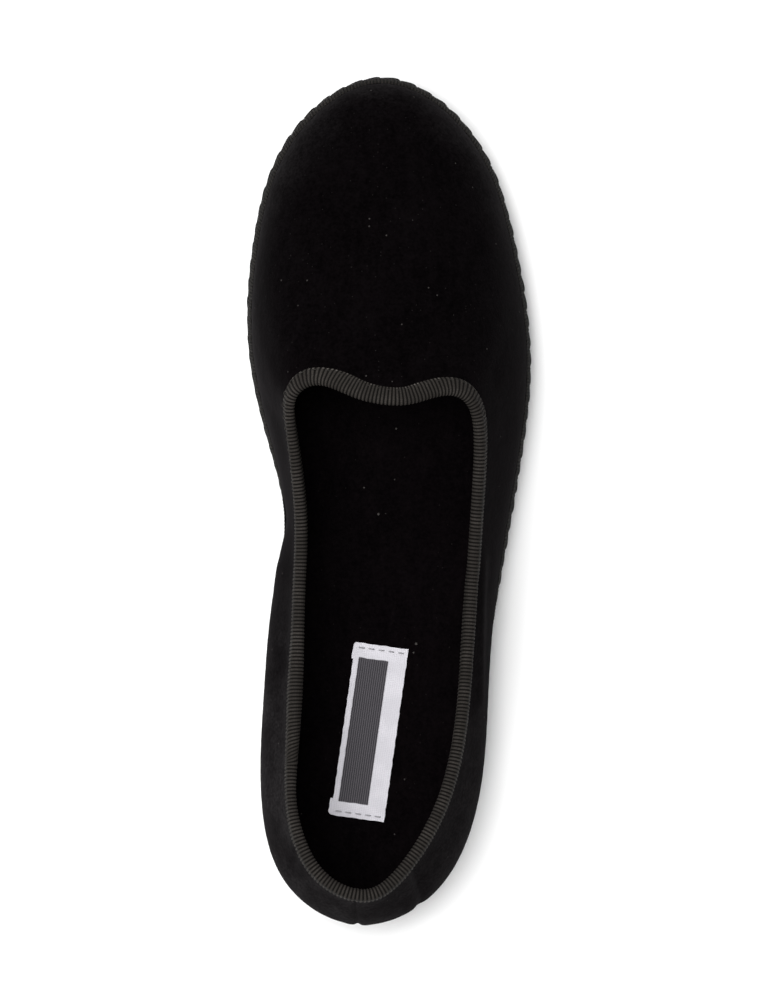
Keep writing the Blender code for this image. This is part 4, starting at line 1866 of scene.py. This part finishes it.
@dataclass
class Label:
    """Woven tape sewn to the footbed, with both ends folded under.

    Its own frame has its middle at the origin and its length along Y.
    """

    bench: Bench
    footbed: Footbed
    width: float = 15.7
    length: float = 51.5
    thick: float = 0.28
    centre: Pair = (-2.8, -68.3)
    turn: float = -6.7
    gap: float = 0.2
    fold: float = 5.0
    fold_bend: float = 0.8
    flap_shifts: Pair = (-0.95, -0.40)
    flap_turn: float = -1.6
    face_lift: float = 0.112
    fold_lift: float = 0.416
    fold_slope: Span = (-3.0, 1.0)
    fray: float = 0.09
    side_waves: Pair = (1.7, 0.43)
    end_waves: Pair = (4.0, 11.0)
    ripple: Wave = Wave(0.07, 6.1, 15.0, 0.9, 5.0)
    curl: float = 0.16
    columns: int = 30
    rows: int = 120
    stitch_inset: float = 1.5
    stitch_length: float = 1.9
    stitch_count: int = 5
    stitch_margin: float = 0.4
    stitch_dip: float = 0.25
    stitch_radius: float = 0.22
    thread: Thread = Thread("label_thread", dark=(0.27, 0.265, 0.28), light=(0.52, 0.51, 0.54))

    @property
    def level(self) -> float:
        """Height that the tape lies at, before the sole's spring."""
        return self.footbed.seat + self.footbed.thick + self.gap

    def surface(self, across: Numbers, rows: Numbers) -> Numbers:
        """The tape, a little frayed and rippled, lying on the velvet.

        Args:
            across: shares of its width.
            rows: shares of its length with both folds.

        Returns:
            Points in millimetres.
        """
        half = self.length / 2.0
        path = (2.0 * rows - 1.0) * (half + self.fold)
        end = np.sign(path)
        beyond = np.maximum(np.abs(path) - half, 0.0)
        flap = smooth_step(beyond, 0.0, self.fold_bend)
        edge = 2.0 * across - 1.0
        quick, slow = self.side_waves
        fray = self.fray * np.sin(quick * path + edge) * np.sin(slow * path + 2.0 * edge)
        slide = np.where(path < 0.0, *self.flap_shifts)
        slide = slide + end * beyond * math.tan(math.radians(self.flap_turn))
        x = edge * self.width / 2.0 + fray * edge**3 + flap * slide
        lean, nick = self.end_waves
        y = end * np.where(beyond > 0.0, half - beyond, np.abs(path))
        y = y + self.fray * np.sin(lean * edge + path / half) * np.sin(nick * edge)
        low, high = (half - self.fold + slope for slope in self.fold_slope)
        raised = smooth_step(np.abs(y), low, high)
        top = self.face_lift + (self.fold_lift - self.face_lift) * raised
        ripple = self.ripple.at(path, 1.0, across)
        face = top + ripple + self.curl * edge**4 * (1.0 - raised)
        z = np.where(beyond > 0.0, top * (1.0 - flap), face)
        return self.turned(np.stack([x, y, z + self.level], axis=-1))

    def turned(self, points: Numbers) -> Numbers:
        """Bring points to the label's place on the footbed.

        Args:
            points: points in the label's own frame.

        Returns:
            Points in the frame of the last.
        """
        turn = math.radians(self.turn)
        x = points[:, 0] * math.cos(turn) - points[:, 1] * math.sin(turn)
        y = points[:, 0] * math.sin(turn) + points[:, 1] * math.cos(turn)
        return np.stack([x + self.centre[0], y + self.centre[1], points[:, 2]], axis=-1)

    def build(self) -> None:
        """Label and its stitches."""
        tape = self.bench.grid(self.columns, self.rows, self.surface, "tape")
        bmesh.ops.recalc_face_normals(tape, faces=tape.faces)
        bmesh.ops.solidify(tape, geom=tape.faces[:], thickness=self.thick)
        finish = WovenTape("woven_tape").material()
        label = self.bench.piece("woven_label", tape, finish, Slot.TAPE, ["label"])
        sewn = [self.stitches()]

    def stitches(self) -> bpy.types.Object:
        """A row of stitches across each end of the label.

        Returns:
            The stitches' object.
        """
        thread = Stitching(sides=6, rings=6)
        pitch = self.width / (self.stitch_count + self.stitch_margin)
        high = self.level + self.fold_lift + self.thick
        low = high - self.stitch_dip
        half = self.stitch_length / 2.0
        for end in (-1.0, 1.0):
            y = end * (self.length / 2.0 - self.stitch_inset)
            for k in range(self.stitch_count):
                x = (k - (self.stitch_count - 1) / 2.0) * pitch
                line = np.array([[x - half, y, low], [x, y, high], [x + half, y, low]])
                thread.sew(*(Vector(point) for point in self.turned(line)), self.stitch_radius)
        return self.bench.piece("label_stitches", thread.shape, self.thread.material(), Slot.TAPE)


class Lamp(NamedTuple):
    """A square soft box: its place and side in metres, and its power in watts."""

    name: str
    place: Triple
    side: float
    watts: float


@dataclass
class Studio:
    """Floor, lights and the camera, which looks down on the shoe from high above its inner side.

    Its places and sizes are in metres.
    """

    camera_place: Triple = (-0.046, -0.0023, 2.0)
    camera_target: Triple = (0.0, 0.0, 0.025)
    image_up: Triple = (-0.0245, 0.9997, 0.0)
    view_height: float = 0.292
    sensor: float = 36.0
    floor_size: float = 12.0
    floor_gap: float = 0.0001
    sky: float = 0.50
    lamps: tuple[Lamp, ...] = (
        Lamp("overhead", (-0.46, 0.16, 2.1), 1.1, 46.0),
        Lamp("behind", (-0.35, -1.8, 0.9), 0.9, 14.0),
        Lamp("front", (-0.7, 1.65, 0.9), 0.9, 15.0),
    )

    def floor(self) -> None:
        """A wide pale floor just under the shoe."""
        shape = bmesh.new()
        bmesh.ops.create_grid(shape, x_segments=1, y_segments=1, size=self.floor_size / 2.0)
        bmesh.ops.translate(shape, vec=(0.0, 0.0, -self.floor_gap), verts=shape.verts)
        mesh = bpy.data.meshes.new("floor")
        shape.to_mesh(mesh)
        shape.free()
        mesh.materials.append(FloorPaint().material())
        floor = bpy.data.objects.new("floor", mesh)
        bpy.context.scene.collection.objects.link(floor)

    def light(self, lamp: Lamp) -> None:
        """Hang a lamp so that it faces the shoe.

        Args:
            lamp: its place, size and power.
        """
        data = bpy.data.lights.new(lamp.name, "AREA")
        data.size = lamp.side
        data.energy = lamp.watts
        light = bpy.data.objects.new(lamp.name, data)
        light.location = lamp.place
        facing = Vector(self.camera_target) - Vector(lamp.place)
        light.rotation_euler = facing.to_track_quat("-Z", "Y").to_euler()
        bpy.context.scene.collection.objects.link(light)

    def camera(self) -> None:
        """The camera, rolled as the picture is."""
        data = bpy.data.cameras.new("camera")
        sight = Vector(self.camera_place) - Vector(self.camera_target)
        back = sight.normalized()
        right = Vector(self.image_up).cross(back).normalized()
        upright = back.cross(right)
        data.sensor_width = self.sensor
        data.lens = self.sensor * sight.length / self.view_height
        camera = bpy.data.objects.new("camera", data)
        turn = Matrix((right, upright, back)).transposed().to_4x4()
        camera.matrix_world = Matrix.Translation(self.camera_place) @ turn
        bpy.context.scene.collection.objects.link(camera)
        bpy.context.scene.camera = camera

    def build(self) -> None:
        """Floor, world, lamps and camera."""
        scene = bpy.context.scene
        scene.view_settings.view_transform = "Standard"
        world = bpy.data.worlds.new("studio")
        world.use_nodes = True
        backdrop = world.node_tree.nodes["Background"]
        backdrop.inputs["Color"].default_value = (1.0, 1.0, 1.0, 1.0)
        backdrop.inputs["Strength"].default_value = self.sky
        scene.world = world
        self.floor()
        for lamp in self.lamps:
            self.light(lamp)
        self.camera()


def frame_shift(last: Last) -> Vector:
    """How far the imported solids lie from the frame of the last.

    Args:
        last: the form that the shoe is made on.

    Returns:
        A level shift in millimetres.
    """
    places = np.linspace(0.0, 1.0, last.fine_places, endpoint=False)
    edge, outward = last.rim(places)
    outline = edge - min(set_back for _, set_back in Sole.rubber_steps) * outward
    middle = (outline.min(axis=0) + outline.max(axis=0)) / 2.0
    low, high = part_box("outsole")
    packed = (low + high) / 2.0 / MM
    return Vector((packed.x - middle[0], packed.y - middle[1], 0.0))


def main() -> None:
    """Dress the shoe and set up the studio."""
    logging.basicConfig(level=logging.INFO, format="%(name)s: %(message)s")
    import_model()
    last = Last()
    bench = Bench(last, frame_shift(last))
    log.info("shift %s, stitches %d", tuple(bench.shift), last.stitches)
    footbed = Footbed(bench)
    uppers = (Upper(bench), CollarBinding(bench), BaseRibbon(bench))
    for part in (*uppers, Sole(bench), footbed, Label(bench, footbed)):
        part.build()
    Studio().build()


if __name__ == "__main__":
    main()
